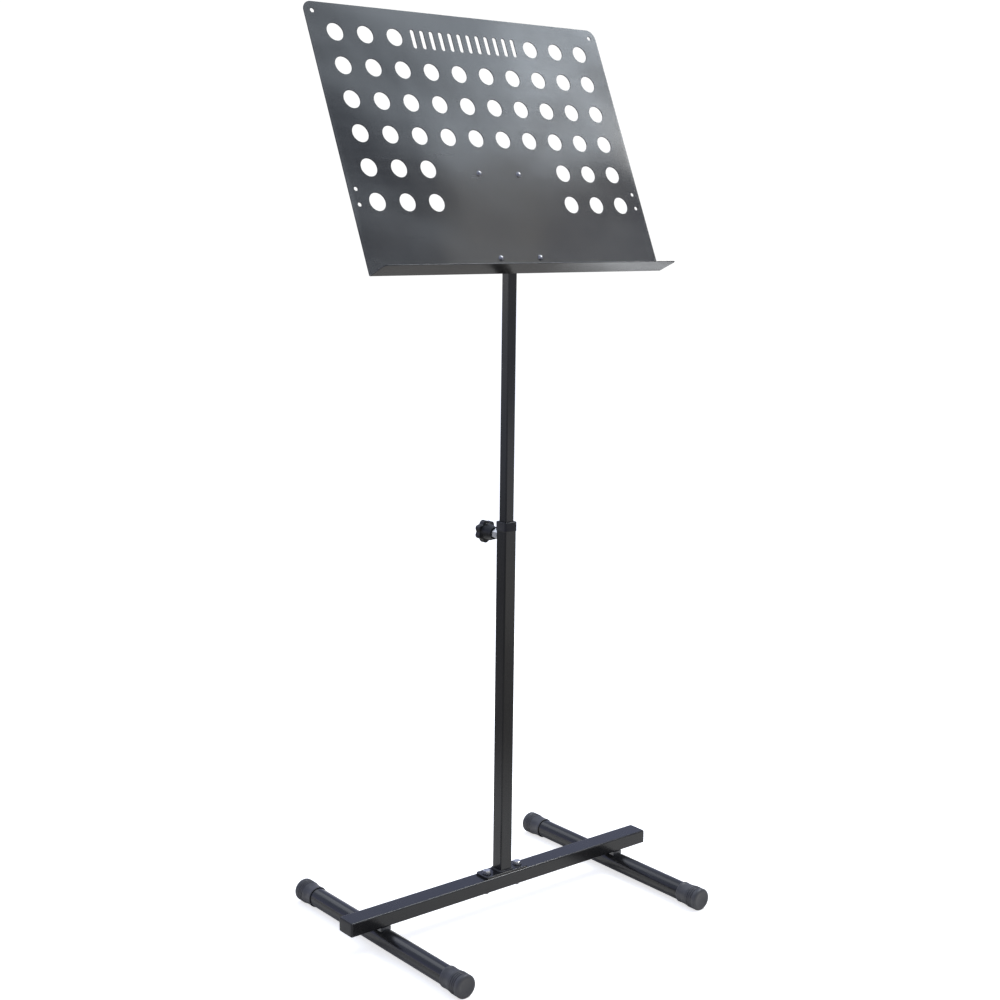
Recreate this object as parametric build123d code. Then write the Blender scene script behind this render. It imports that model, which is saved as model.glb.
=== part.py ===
from build123d import *
import math
import os

# Music stand: perforated sheet-metal desk with a bent ledge, on a two-stage square mast
# that is bolted to a crossbar resting on two round legs.
# +X is the player's right, +Y points away from the player, +Z is up.
# The origin is on the floor, at the centre of the base.

# ---------------------------------------------------------------- driving dimensions (mm)

# Legs: round tubes that run front to back under the crossbar
LEG_X = 214.0
LEG_DIAMETER = 26.9
LEG_WALL = 1.2
LEG_AXIS_Z = 15.5
LEG_SPAN = 382.0

# Rubber cap on each leg end
CAP_LENGTH = 38.0
CAP_END_WALL = 5.0
CAP_NECK_RADIUS = 14.9
CAP_RADIUS = 16.0
CAP_NECK_LENGTH = 12.0
CAP_FLARE_LENGTH = 8.0
CAP_EDGE_RADIUS = 3.0

# Crossbar: rectangular tube laid flat on the legs
BAR_LENGTH = 536.0
BAR_DEPTH = 30.0
BAR_HEIGHT = 20.0
BAR_WALL = 1.5
BAR_CORNER = 2.0
BAR_BOTTOM_Z = 32.0
BAR_TOP_Z = BAR_BOTTOM_Z + BAR_HEIGHT
PLUG_FLANGE = 2.0
PLUG_DEPTH = 14.0
PLUG_CLEARANCE = 0.1
PLUG_CORNER = 1.0

# Saddle washer between each leg and the crossbar
SADDLE_WIDTH = 16.0
SADDLE_BOTTOM_Z = 27.0

# M6 fasteners
M6_RADIUS = 3.0
M6_HOLE_RADIUS = 3.3
M6_ACROSS_FLATS = 10.0
M6_NUT_HEIGHT = 5.0
M6_HEAD_HEIGHT = 4.0
M6_WASHER_RADIUS = 6.5
M6_WASHER_THICKNESS = 1.2
LEG_BOLT_HEAD_RADIUS = 5.5
LEG_BOLT_HEAD_HEIGHT = 3.4
LEG_BOLT_HEAD_TOP_Z = 26.4
LEG_BOLT_TOP_Z = 44.0
LEG_ACCESS_RADIUS = 6.5

# Mast foot
FOOT_LENGTH = 76.0
FOOT_WIDTH = 27.0
FOOT_THICKNESS = 3.0
FOOT_CORNER = 4.0
FOOT_BOLT_X = 28.0
FOOT_BOLT_END_Z = 24.0
WELD_LEG = 3.0
WELD_TAPER = 40

# Lower tube of the mast
LOWER_SIZE = 20.0
LOWER_WALL = 1.5
LOWER_CORNER = 2.2
LOWER_TOP_Z = 562.0
LOWER_BOTTOM_Z = BAR_TOP_Z + FOOT_THICKNESS

# Upper tube of the mast, and the plastic parts that guide it
UPPER_SIZE = 15.0
UPPER_WALL = 1.2
UPPER_CORNER = 2.0
UPPER_BOTTOM_Z = 396.0
BUSH_BOTTOM_Z = 512.0
BUSH_SKIRT_HEIGHT = 12.0
BUSH_SKIRT_WALL = 0.9
BUSH_LIP = 1.2
BUSH_CLEARANCE = 0.1
GLIDE_SIZE = 16.4
GLIDE_FLANGE = 4.0
GLIDE_DEPTH = 12.0
GLIDE_CORNER = 1.2

# Clamp screw on the back of the lower tube
CLAMP_Z = 542.0
CLAMP_NUT_LENGTH = 14.0
CLAMP_NUT_ACROSS_FLATS = 13.0
CLAMP_NUT_TURN = 30
M8_RADIUS = 4.0
M8_BORE_RADIUS = 4.06
PAD_RADIUS = 3.7
PAD_GAP = 0.3
PAD_LENGTH = 3.1
PAD_SOCKET_DEPTH = 2.0
PIN_RADIUS = 2.0
PIN_CLEARANCE = 0.05
CLAMP_HUB_START_Y = 24.6
CLAMP_HUB_END_Y = 40.5
CLAMP_KNOB_END_Y = 51.0
CLAMP_HUB_NECK_RADIUS = 8.8
CLAMP_HUB_RADIUS = 11.8
CLAMP_KNOB_RADIUS = 16.2
CLAMP_KNOB_FLOOR = 4.0
KNOB_LOBES = 7
KNOB_LOBE_SHARE = 0.24
KNOB_WAIST_SHARE = 0.84

# Desk: measured from the tilt pivot, across (u), up the sheet (w) and out of its front (n)
PIVOT_Z = 927.0
DESK_TILT = 23.8
DESK_WIDTH = 500.0
DESK_TOP_W = 338.0
DESK_BEND_W = -35.0
DESK_FRONT_N = 20.0
SHEET = 1.2
LEDGE_DEPTH = 37.0
BEND_RADIUS = 1.5
DESK_CORNER = 14.0
LEDGE_CORNER = 5.0

# Grid of round holes in the desk
GRID_W = 181.0
GRID_PITCH = 46.6
GRID_COLUMNS = 10
GRID_ROWS = 6
HOLE_RADIUS = 12.3
SIDE_COLUMNS = 3
FULL_ROWS = (1, 2, 3)

# Row of upright slots between the side holes of the top row
SLOT_COUNT = 12
SLOT_PITCH = 15.6
SLOT_WIDTH = 6.0
SLOT_HEIGHT = 27.0

# Small holes by the edges of the desk
SMALL_HOLE_RADIUS = 2.75
CORNER_HOLE_RADIUS = 3.0
EDGE_HOLE_U = 238.0
EDGE_HOLE_W = 71.0
EDGE_HOLE_SPACING = 21.0
CORNER_HOLE_U = 237.0
CORNER_HOLE_W = DESK_TOP_W - 13.0

# Bracket on the back of the desk
BRACKET_HALF_WIDTH = 48.0
BRACKET_BOTTOM_W = -27.0
BRACKET_TOP_W = 121.0
BRACKET_SHEET = 1.5
BRACKET_CORNER = 8.0
EAR_INNER_U = 8.8
EAR_THICKNESS = 2.0
EAR_RADIUS = 13.0
EAR_ROOT_TOP_W = 34.0
SCREW_U = 34.0
SCREW_LOW_W = -13.0
SCREW_HIGH_W = 107.0
M5_RADIUS = 2.5
M5_HOLE_RADIUS = 2.75
M5_HEAD_RADIUS = 4.3
M5_HEAD_HEIGHT = 2.6
M5_ACROSS_FLATS = 8.0
M5_NUT_HEIGHT = 4.0
M5_TAIL = 1.0

# Tilt bolt along X, its friction washers and its hand knob
TILT_HEAD_RADIUS = 9.0
TILT_HEAD_HEIGHT = 4.0
TILT_NECK = 8.0
TILT_BOLT_END_U = 28.0
FRICTION_WASHER_RADIUS = 9.0
FRICTION_WASHER_THICKNESS = 1.0
TILT_WASHER_RADIUS = 8.0
TILT_WASHER_THICKNESS = 1.6
TILT_GAP = 0.3
TILT_HUB_RADIUS = 7.5
TILT_HUB_LENGTH = 7.5
TILT_KNOB_RADIUS = 14.0
TILT_KNOB_THICKNESS = 11.5
INSERT_RADIUS = 5.5
UPPER_TOP_ABOVE_PIVOT = 12.0
TOP_PLUG_FLANGE = 1.5
TOP_PLUG_DEPTH = 5.0

# Smallest radius left inside the corner of a folded tube
SHARPEST_CORNER = 0.5

# ---------------------------------------------------------------- derived places

LEG_RADIUS = LEG_DIAMETER / 2
CAP_BORE_DEPTH = CAP_LENGTH - CAP_END_WALL
LEG_TUBE_LENGTH = LEG_SPAN - 2 * CAP_END_WALL
LOWER_HALF = LOWER_SIZE / 2
UPPER_HALF = UPPER_SIZE / 2
UPPER_TOP_Z = PIVOT_Z + UPPER_TOP_ABOVE_PIVOT
PAD_START_Y = UPPER_HALF + PAD_GAP
STUD_START_Y = PAD_START_Y + PAD_LENGTH + PAD_GAP
PIN_START_Y = PAD_START_Y + PAD_LENGTH - PAD_SOCKET_DEPTH + PAD_GAP
STUD_END_Y = CLAMP_KNOB_END_Y - CLAMP_KNOB_FLOOR
DESK_BACK_N = DESK_FRONT_N - SHEET
BRACKET_BACK_N = DESK_BACK_N - BRACKET_SHEET
EAR_OUTER_U = EAR_INNER_U + EAR_THICKNESS
TILT_WASHER_U = EAR_OUTER_U + TILT_GAP
TILT_HUB_U = TILT_WASHER_U + TILT_WASHER_THICKNESS + TILT_GAP
TILT_HEAD_U = TILT_HUB_U + TILT_HUB_LENGTH
TILT_KNOB_END_U = TILT_HEAD_U + TILT_KNOB_THICKNESS

# Desk frame: X across, Y up the sheet, Z out of the front face
TILT_RADIANS = math.radians(DESK_TILT)
DESK_PLANE = Plane(
    origin=(0, 0, PIVOT_Z),
    x_dir=(1, 0, 0),
    z_dir=(0, -math.cos(TILT_RADIANS), math.sin(TILT_RADIANS)),
)
DESK = DESK_PLANE.location

# Turn a solid drawn along +Z so that it runs along +X or +Y
ALONG_X = Rotation(0, 90, 0)
ALONG_Y = Rotation(-90, 0, 0)


# ---------------------------------------------------------------- shared shapes

def disc(radius, start, end):
    """A cylinder on the Z axis, from height start to height end."""
    return Pos(0, 0, start) * extrude(Circle(radius), end - start)


def ring(outer, inner, start, end):
    """A round washer or tube on the Z axis."""
    return disc(outer, start, end) - disc(inner, start - 1, end + 1)


def hexagon(across_flats, start, end):
    """A hexagonal prism on the Z axis."""
    return Pos(0, 0, start) * extrude(RegularPolygon(across_flats / math.sqrt(3), 6), end - start)


def hex_nut(across_flats, bore, start, end):
    """A hexagonal nut on the Z axis, with its thread as a plain bore."""
    return hexagon(across_flats, start, end) - disc(bore, start - 1, end + 1)


def rounded_bar(size_x, size_y, corner, start, end):
    """A bar on the Z axis with rounded corners."""
    return Pos(0, 0, start) * extrude(RectangleRounded(size_x, size_y, corner), end - start)


def box_tube(size_x, size_y, wall, corner, start, end):
    """A rectangular tube on the Z axis with rounded corners."""
    inner_corner = max(corner - wall, SHARPEST_CORNER)
    outer = rounded_bar(size_x, size_y, corner, start, end)
    inner = rounded_bar(size_x - 2 * wall, size_y - 2 * wall, inner_corner, start - 1, end + 1)
    return outer - inner


def taper(start_radius, end_radius, start, end):
    """A cone on the Z axis, from height start to height end."""
    return Pos(0, 0, (start + end) / 2) * Cone(start_radius, end_radius, end - start)


def group(solids):
    """Separate solids that share one node."""
    return Compound(children=list(solids))


def star_head(radius, start, end):
    """A hand knob's lobed head on the Z axis."""
    lobe = radius * KNOB_LOBE_SHARE
    outline = Circle(radius * KNOB_WAIST_SHARE)
    for place in PolarLocations(radius - lobe, KNOB_LOBES):
        outline += place * Circle(lobe)
    return Pos(0, 0, start) * extrude(outline, end - start)


def on_clamp_axis(solid):
    """Move a solid drawn on the Z axis to the clamp screw's axis."""
    return Pos(0, 0, CLAMP_Z) * ALONG_Y * solid


def on_tilt_axis(solid):
    """Move a solid drawn on the Z axis to the tilt axis, turned with the desk."""
    return DESK * ALONG_X * solid


# ---------------------------------------------------------------- base

def leg(side):
    """Leg tube with a bolt hole above and an access hole for the bolt head below."""
    half = LEG_TUBE_LENGTH / 2
    tube = ALONG_Y * ring(LEG_RADIUS, LEG_RADIUS - LEG_WALL, -half, half)
    tube = Pos(side * LEG_X, 0, LEG_AXIS_Z) * tube
    tube -= Pos(side * LEG_X, 0, 0) * disc(M6_HOLE_RADIUS, LEG_AXIS_Z, BAR_BOTTOM_Z)
    tube -= Pos(side * LEG_X, 0, 0) * disc(LEG_ACCESS_RADIUS, -1, LEG_AXIS_Z)
    return tube


def foot_cap(side, end):
    """Flared rubber cap, open towards the leg and worn flat where it meets the floor."""
    flare = CAP_NECK_LENGTH + CAP_FLARE_LENGTH
    outline = Polyline(
        (0, CAP_LENGTH),
        (0, CAP_BORE_DEPTH),
        (LEG_RADIUS, CAP_BORE_DEPTH),
        (LEG_RADIUS, 0),
        (CAP_NECK_RADIUS, 0),
        (CAP_NECK_RADIUS, CAP_NECK_LENGTH),
        (CAP_RADIUS, flare),
        (CAP_RADIUS, CAP_LENGTH - CAP_EDGE_RADIUS),
    )
    edge = RadiusArc(
        (CAP_RADIUS, CAP_LENGTH - CAP_EDGE_RADIUS),
        (CAP_RADIUS - CAP_EDGE_RADIUS, CAP_LENGTH),
        -CAP_EDGE_RADIUS,
    )
    close = Line((CAP_RADIUS - CAP_EDGE_RADIUS, CAP_LENGTH), (0, CAP_LENGTH))
    section = make_face([outline, edge, close])
    cap = revolve(Plane.XZ * section, Axis.Z)
    cap = Pos(0, LEG_SPAN / 2 - CAP_LENGTH, 0) * ALONG_Y * cap
    if end < 0:
        cap = Rotation(0, 0, 180) * cap
    cap = Pos(side * LEG_X, 0, LEG_AXIS_Z) * cap
    floor = Pos(side * LEG_X, 0, -CAP_RADIUS) * Box(4 * CAP_RADIUS, 2 * LEG_SPAN, 2 * CAP_RADIUS)
    return cap - floor


def crossbar():
    """Rectangular tube along X with its bolt holes."""
    half = BAR_LENGTH / 2
    bar = ALONG_X * box_tube(BAR_HEIGHT, BAR_DEPTH, BAR_WALL, BAR_CORNER, -half, half)
    bar = Pos(0, 0, BAR_BOTTOM_Z + BAR_HEIGHT / 2) * bar
    for side in (-1, 1):
        bar -= Pos(side * FOOT_BOLT_X, 0, 0) * disc(M6_HOLE_RADIUS, BAR_BOTTOM_Z - 1, BAR_TOP_Z + 1)
        leg_hole = disc(M6_HOLE_RADIUS, BAR_BOTTOM_Z - 1, BAR_BOTTOM_Z + BAR_WALL + 1)
        bar -= Pos(side * LEG_X, 0, 0) * leg_hole
    return bar


def crossbar_plug(side):
    """Moulded plug in an end of the crossbar."""
    inner_height = BAR_HEIGHT - 2 * (BAR_WALL + PLUG_CLEARANCE)
    inner_depth = BAR_DEPTH - 2 * (BAR_WALL + PLUG_CLEARANCE)
    plug = rounded_bar(BAR_HEIGHT, BAR_DEPTH, BAR_CORNER, 0, PLUG_FLANGE)
    plug += box_tube(inner_height, inner_depth, PLUG_FLANGE, PLUG_CORNER, -PLUG_DEPTH, 0)
    plug = Pos(BAR_LENGTH / 2, 0, BAR_BOTTOM_Z + BAR_HEIGHT / 2) * ALONG_X * plug
    if side < 0:
        plug = Rotation(0, 0, 180) * plug
    return plug


def leg_saddle(side):
    """Curved washer that seats the flat crossbar on a round leg."""
    height = BAR_BOTTOM_Z - SADDLE_BOTTOM_Z
    saddle = Pos(0, 0, SADDLE_BOTTOM_Z + height / 2) * Box(SADDLE_WIDTH, BAR_DEPTH, height)
    saddle -= Pos(0, 0, LEG_AXIS_Z) * ALONG_Y * disc(LEG_RADIUS, -BAR_DEPTH, BAR_DEPTH)
    saddle -= disc(M6_HOLE_RADIUS, LEG_AXIS_Z, BAR_BOTTOM_Z + 1)
    return Pos(side * LEG_X, 0, 0) * saddle


def leg_bolts():
    """Screws that rise from inside each leg into the crossbar."""
    bolt = disc(M6_RADIUS, LEG_BOLT_HEAD_TOP_Z, LEG_BOLT_TOP_Z)
    bolt += disc(LEG_BOLT_HEAD_RADIUS, LEG_BOLT_HEAD_TOP_Z - LEG_BOLT_HEAD_HEIGHT, LEG_BOLT_HEAD_TOP_Z)
    return group(Pos(side * LEG_X, 0, 0) * bolt for side in (-1, 1))


def leg_nuts():
    """Nuts held inside the crossbar above each leg."""
    seat = BAR_BOTTOM_Z + BAR_WALL
    nut = hex_nut(M6_ACROSS_FLATS, M6_RADIUS, seat, seat + M6_NUT_HEIGHT)
    return group(Pos(side * LEG_X, 0, 0) * nut for side in (-1, 1))


def mast_foot_plate():
    """Flat plate that the lower tube is welded to."""
    plate = rounded_bar(FOOT_LENGTH, FOOT_WIDTH, FOOT_CORNER, BAR_TOP_Z, LOWER_BOTTOM_Z)
    for side in (-1, 1):
        plate -= Pos(side * FOOT_BOLT_X, 0, 0) * disc(M6_HOLE_RADIUS, BAR_TOP_Z - 1, LOWER_BOTTOM_Z + 1)
    return plate


def mast_weld():
    """Fillet weld around the bottom of the lower tube."""
    size = LOWER_SIZE + 2 * WELD_LEG
    toe = RectangleRounded(size, size, LOWER_CORNER + WELD_LEG)
    bead = Pos(0, 0, LOWER_BOTTOM_Z) * extrude(toe, WELD_LEG, taper=WELD_TAPER)
    return bead - rounded_bar(LOWER_SIZE, LOWER_SIZE, LOWER_CORNER, LOWER_BOTTOM_Z - 1, LOWER_TOP_Z)


def mast_bolts():
    """Hexagon bolts through the foot plate and the crossbar."""
    seat = LOWER_BOTTOM_Z + M6_WASHER_THICKNESS
    bolt = disc(M6_RADIUS, FOOT_BOLT_END_Z, seat)
    bolt += hexagon(M6_ACROSS_FLATS, seat, seat + M6_HEAD_HEIGHT)
    return group(Pos(side * FOOT_BOLT_X, 0, 0) * bolt for side in (-1, 1))


def mast_washers():
    """Washers under the bolt heads."""
    top = LOWER_BOTTOM_Z + M6_WASHER_THICKNESS
    washer = ring(M6_WASHER_RADIUS, M6_RADIUS, LOWER_BOTTOM_Z, top)
    return group(Pos(side * FOOT_BOLT_X, 0, 0) * washer for side in (-1, 1))


def mast_nuts():
    """Nuts under the crossbar."""
    nut = hex_nut(M6_ACROSS_FLATS, M6_RADIUS, BAR_BOTTOM_Z - M6_NUT_HEIGHT, BAR_BOTTOM_Z)
    return group(Pos(side * FOOT_BOLT_X, 0, 0) * nut for side in (-1, 1))


def lower_tube():
    """Outer tube of the mast, with the hole for the clamp screw in its back wall."""
    tube = box_tube(LOWER_SIZE, LOWER_SIZE, LOWER_WALL, LOWER_CORNER, LOWER_BOTTOM_Z, LOWER_TOP_Z)
    return tube - on_clamp_axis(disc(M8_BORE_RADIUS, 0, LOWER_SIZE))


def guide_bush():
    """Plastic bush in the mouth of the lower tube, with a skirt over its outside."""
    top = LOWER_TOP_Z + BUSH_LIP
    skirt_bottom = LOWER_TOP_Z - BUSH_SKIRT_HEIGHT
    skirt_size = LOWER_SIZE + 2 * BUSH_SKIRT_WALL
    sleeve_size = LOWER_SIZE - 2 * LOWER_WALL
    inner_size = UPPER_SIZE + 2 * BUSH_CLEARANCE
    inner_corner = UPPER_CORNER + BUSH_CLEARANCE
    skirt = rounded_bar(skirt_size, skirt_size, LOWER_CORNER + BUSH_SKIRT_WALL, skirt_bottom, top)
    skirt -= rounded_bar(LOWER_SIZE, LOWER_SIZE, LOWER_CORNER, skirt_bottom - 1, LOWER_TOP_Z)
    sleeve = rounded_bar(sleeve_size, sleeve_size, LOWER_CORNER - LOWER_WALL, BUSH_BOTTOM_Z, LOWER_TOP_Z)
    bush = skirt + sleeve
    bush -= rounded_bar(inner_size, inner_size, inner_corner, BUSH_BOTTOM_Z - 1, top + 1)
    return bush - on_clamp_axis(disc(M8_BORE_RADIUS, 0, LOWER_SIZE))


def clamp_nut():
    """Long nut welded to the back of the lower tube, with a flat facing each side."""
    end = LOWER_HALF + CLAMP_NUT_LENGTH
    nut = hex_nut(CLAMP_NUT_ACROSS_FLATS, M8_BORE_RADIUS, LOWER_HALF, end)
    return on_clamp_axis(Rotation(0, 0, CLAMP_NUT_TURN) * nut)


# ---------------------------------------------------------------- sliding mast

def upper_tube():
    """Inner tube of the mast, drilled across its top for the tilt bolt."""
    tube = box_tube(UPPER_SIZE, UPPER_SIZE, UPPER_WALL, UPPER_CORNER, UPPER_BOTTOM_Z, UPPER_TOP_Z)
    return tube - Pos(0, 0, PIVOT_Z) * ALONG_X * disc(M8_BORE_RADIUS, -UPPER_SIZE, UPPER_SIZE)


def mast_glide():
    """Plastic plug that keeps the bottom of the upper tube centred in the lower tube."""
    inner_size = UPPER_SIZE - 2 * UPPER_WALL
    inner_corner = UPPER_CORNER - UPPER_WALL
    glide_top = UPPER_BOTTOM_Z + GLIDE_DEPTH
    flange_bottom = UPPER_BOTTOM_Z - GLIDE_FLANGE
    glide = rounded_bar(GLIDE_SIZE, GLIDE_SIZE, GLIDE_CORNER, flange_bottom, UPPER_BOTTOM_Z)
    return glide + rounded_bar(inner_size, inner_size, inner_corner, UPPER_BOTTOM_Z, glide_top)


def mast_top_plug():
    """Plastic plug that closes the top of the upper tube."""
    inner_size = UPPER_SIZE - 2 * UPPER_WALL
    inner_corner = UPPER_CORNER - UPPER_WALL
    bottom = UPPER_TOP_Z - TOP_PLUG_DEPTH
    plug = rounded_bar(UPPER_SIZE, UPPER_SIZE, UPPER_CORNER, UPPER_TOP_Z, UPPER_TOP_Z + TOP_PLUG_FLANGE)
    return plug + rounded_bar(inner_size, inner_size, inner_corner, bottom, UPPER_TOP_Z)


# ---------------------------------------------------------------- clamp screw

def clamp_pad():
    """Swivel pad that presses on the upper tube, with a socket for the screw's tip."""
    end = PAD_START_Y + PAD_LENGTH
    pad = disc(PAD_RADIUS, PAD_START_Y, end)
    pad -= disc(PIN_RADIUS + PIN_CLEARANCE, end - PAD_SOCKET_DEPTH, end + 1)
    return on_clamp_axis(pad)


def clamp_stud():
    """Threaded stud, drawn plain, with a thin tip in the pad's socket."""
    stud = disc(M8_RADIUS, STUD_START_Y, STUD_END_Y) + disc(PIN_RADIUS, PIN_START_Y, STUD_START_Y)
    return on_clamp_axis(stud)


def clamp_knob():
    """Star knob moulded on the stud, with a hub that narrows toward the nut."""
    hub = taper(CLAMP_HUB_NECK_RADIUS, CLAMP_HUB_RADIUS, CLAMP_HUB_START_Y, CLAMP_HUB_END_Y)
    knob = hub + star_head(CLAMP_KNOB_RADIUS, CLAMP_HUB_END_Y, CLAMP_KNOB_END_Y)
    return on_clamp_axis(knob - disc(M8_RADIUS, CLAMP_HUB_START_Y - 1, STUD_END_Y))


# ---------------------------------------------------------------- desk

def grid_places():
    """Centres of the round holes, from the top row down."""
    places = []
    for row in range(GRID_ROWS):
        for column in range(GRID_COLUMNS):
            at_side = column < SIDE_COLUMNS or column >= GRID_COLUMNS - SIDE_COLUMNS
            if row in FULL_ROWS or at_side:
                u = (column - (GRID_COLUMNS - 1) / 2) * GRID_PITCH
                w = GRID_W + ((GRID_ROWS - 1) / 2 - row) * GRID_PITCH
                places.append((u, w))
    return places


def screw_places():
    """Centres of the four bracket screws."""
    return [(side * SCREW_U, w) for side in (-1, 1) for w in (SCREW_LOW_W, SCREW_HIGH_W)]


def desk_holes():
    """All the cuts through the desk, drawn on the sheet's plane."""
    holes = Sketch()
    for u, w in grid_places():
        holes += Pos(u, w) * Circle(HOLE_RADIUS)
    top_row_w = GRID_W + (GRID_ROWS - 1) / 2 * GRID_PITCH
    for index in range(SLOT_COUNT):
        u = (index - (SLOT_COUNT - 1) / 2) * SLOT_PITCH
        holes += Pos(u, top_row_w) * Rotation(0, 0, 90) * SlotOverall(SLOT_HEIGHT, SLOT_WIDTH)
    for u, w in screw_places():
        holes += Pos(u, w) * Circle(M5_HOLE_RADIUS)
    for side in (-1, 1):
        holes += Pos(side * CORNER_HOLE_U, CORNER_HOLE_W) * Circle(CORNER_HOLE_RADIUS)
        for step in (-0.5, 0.5):
            w = EDGE_HOLE_W + step * EDGE_HOLE_SPACING
            holes += Pos(side * EDGE_HOLE_U, w) * Circle(SMALL_HOLE_RADIUS)
    return holes


def desk_panel():
    """Perforated sheet with its bottom edge bent forward into a ledge."""
    ledge_front = DESK_BACK_N + LEDGE_DEPTH
    fold = Polyline(
        (DESK_BACK_N, DESK_TOP_W),
        (DESK_BACK_N, DESK_BEND_W),
        (ledge_front, DESK_BEND_W),
        (ledge_front, DESK_BEND_W + SHEET),
        (DESK_FRONT_N, DESK_BEND_W + SHEET),
        (DESK_FRONT_N, DESK_TOP_W),
        close=True,
    )
    across = Plane(origin=(-DESK_WIDTH / 2, 0, 0), x_dir=(0, 0, 1), z_dir=(-1, 0, 0))
    panel = extrude(across * make_face(fold), -DESK_WIDTH)
    bends = panel.edges().filter_by(Axis.X)
    inside = bends.sort_by_distance((0, DESK_BEND_W + SHEET, DESK_FRONT_N))[0]
    panel = fillet(inside, BEND_RADIUS)
    bends = panel.edges().filter_by(Axis.X)
    outside = bends.sort_by_distance((0, DESK_BEND_W, DESK_BACK_N))[0]
    panel = fillet(outside, BEND_RADIUS + SHEET)
    top_corners = panel.edges().filter_by(Axis.Z).group_by(Axis.Y)[-1]
    panel = fillet(top_corners, DESK_CORNER)
    ledge_corners = panel.edges().filter_by(Axis.Y).group_by(Axis.Z)[-1]
    panel = fillet(ledge_corners, LEDGE_CORNER)
    panel -= Pos(0, 0, DESK_BACK_N - 1) * extrude(desk_holes(), SHEET + 2)
    return DESK * panel


def ear():
    """Side lug of the bracket, drawn in its middle plane around the tilt pivot."""
    root = Polyline(
        (BRACKET_BACK_N, BRACKET_BOTTOM_W),
        (BRACKET_BACK_N, EAR_ROOT_TOP_W),
        (0, EAR_RADIUS),
        (0, -EAR_RADIUS),
        close=True,
    )
    outline = make_face(root) + Circle(EAR_RADIUS)
    return extrude(outline, EAR_THICKNESS)


def desk_bracket():
    """Plate screwed to the back of the desk, with two ears around the mast."""
    height = BRACKET_TOP_W - BRACKET_BOTTOM_W
    middle = (BRACKET_TOP_W + BRACKET_BOTTOM_W) / 2
    outline = Pos(0, middle) * RectangleRounded(2 * BRACKET_HALF_WIDTH, height, BRACKET_CORNER)
    for u, w in screw_places():
        outline -= Pos(u, w) * Circle(M5_HOLE_RADIUS)
    bracket = Pos(0, 0, BRACKET_BACK_N) * extrude(outline, BRACKET_SHEET)
    for start in (EAR_INNER_U, -EAR_OUTER_U):
        side_plane = Plane(origin=(start, 0, 0), x_dir=(0, 0, 1), z_dir=(-1, 0, 0))
        bracket += side_plane.location * Pos(0, 0, -EAR_THICKNESS) * ear()
    right_hole = ALONG_X * disc(M8_BORE_RADIUS, 0, 2 * EAR_OUTER_U)
    left_hole = Pos(-EAR_OUTER_U, 0, 0) * Box(2 * EAR_THICKNESS + 1, TILT_NECK, TILT_NECK)
    return DESK * (bracket - right_hole - left_hole)


def desk_screws():
    """Dome-headed screws through the desk and the bracket."""
    dome_radius = (M5_HEAD_RADIUS**2 + M5_HEAD_HEIGHT**2) / (2 * M5_HEAD_HEIGHT)
    centre = DESK_FRONT_N + M5_HEAD_HEIGHT - dome_radius
    dome = Pos(0, 0, centre) * Sphere(dome_radius)
    head = dome & disc(dome_radius + 1, DESK_FRONT_N, DESK_FRONT_N + M5_HEAD_HEIGHT + 1)
    screw = head + disc(M5_RADIUS, BRACKET_BACK_N - M5_NUT_HEIGHT - M5_TAIL, DESK_FRONT_N)
    return group(DESK * Pos(u, w, 0) * screw for u, w in screw_places())


def desk_nuts():
    """Nuts on the back of the bracket."""
    nut = hex_nut(M5_ACROSS_FLATS, M5_RADIUS, BRACKET_BACK_N - M5_NUT_HEIGHT, BRACKET_BACK_N)
    return group(DESK * Pos(u, w, 0) * nut for u, w in screw_places())


# ---------------------------------------------------------------- tilt lock

def tilt_bolt():
    """Carriage bolt: round head and square neck in the left ear, plain shank to the right."""
    bolt = disc(TILT_HEAD_RADIUS, -EAR_OUTER_U - TILT_HEAD_HEIGHT, -EAR_OUTER_U)
    neck = Pos(0, 0, -EAR_OUTER_U + EAR_THICKNESS / 2) * Box(TILT_NECK, TILT_NECK, EAR_THICKNESS)
    return on_tilt_axis(bolt + neck + disc(M8_RADIUS, -EAR_OUTER_U, TILT_BOLT_END_U))


def friction_washer(side):
    """Nylon washer between an ear and the upper tube."""
    start = EAR_INNER_U - FRICTION_WASHER_THICKNESS
    washer = ring(FRICTION_WASHER_RADIUS, M8_BORE_RADIUS, start, EAR_INNER_U)
    if side < 0:
        washer = Rotation(0, 180, 0) * washer
    return on_tilt_axis(washer)


def tilt_washer():
    """Steel washer between the right ear and the tilt knob."""
    washer = ring(
        TILT_WASHER_RADIUS, M8_BORE_RADIUS, TILT_WASHER_U, TILT_WASHER_U + TILT_WASHER_THICKNESS
    )
    return on_tilt_axis(washer)


def tilt_insert():
    """Brass threaded insert in the tilt knob."""
    return on_tilt_axis(ring(INSERT_RADIUS, M8_BORE_RADIUS, TILT_HUB_U, TILT_HEAD_U))


def tilt_knob():
    """Smaller star knob with a blind bore over the end of the tilt bolt."""
    knob = disc(TILT_HUB_RADIUS, TILT_HUB_U, TILT_HEAD_U)
    knob += star_head(TILT_KNOB_RADIUS, TILT_HEAD_U, TILT_KNOB_END_U)
    knob -= disc(INSERT_RADIUS, TILT_HUB_U - 1, TILT_HEAD_U)
    knob -= disc(M8_BORE_RADIUS, TILT_HEAD_U - 1, TILT_BOLT_END_U + 1)
    return on_tilt_axis(knob)


# ---------------------------------------------------------------- the pieces

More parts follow.
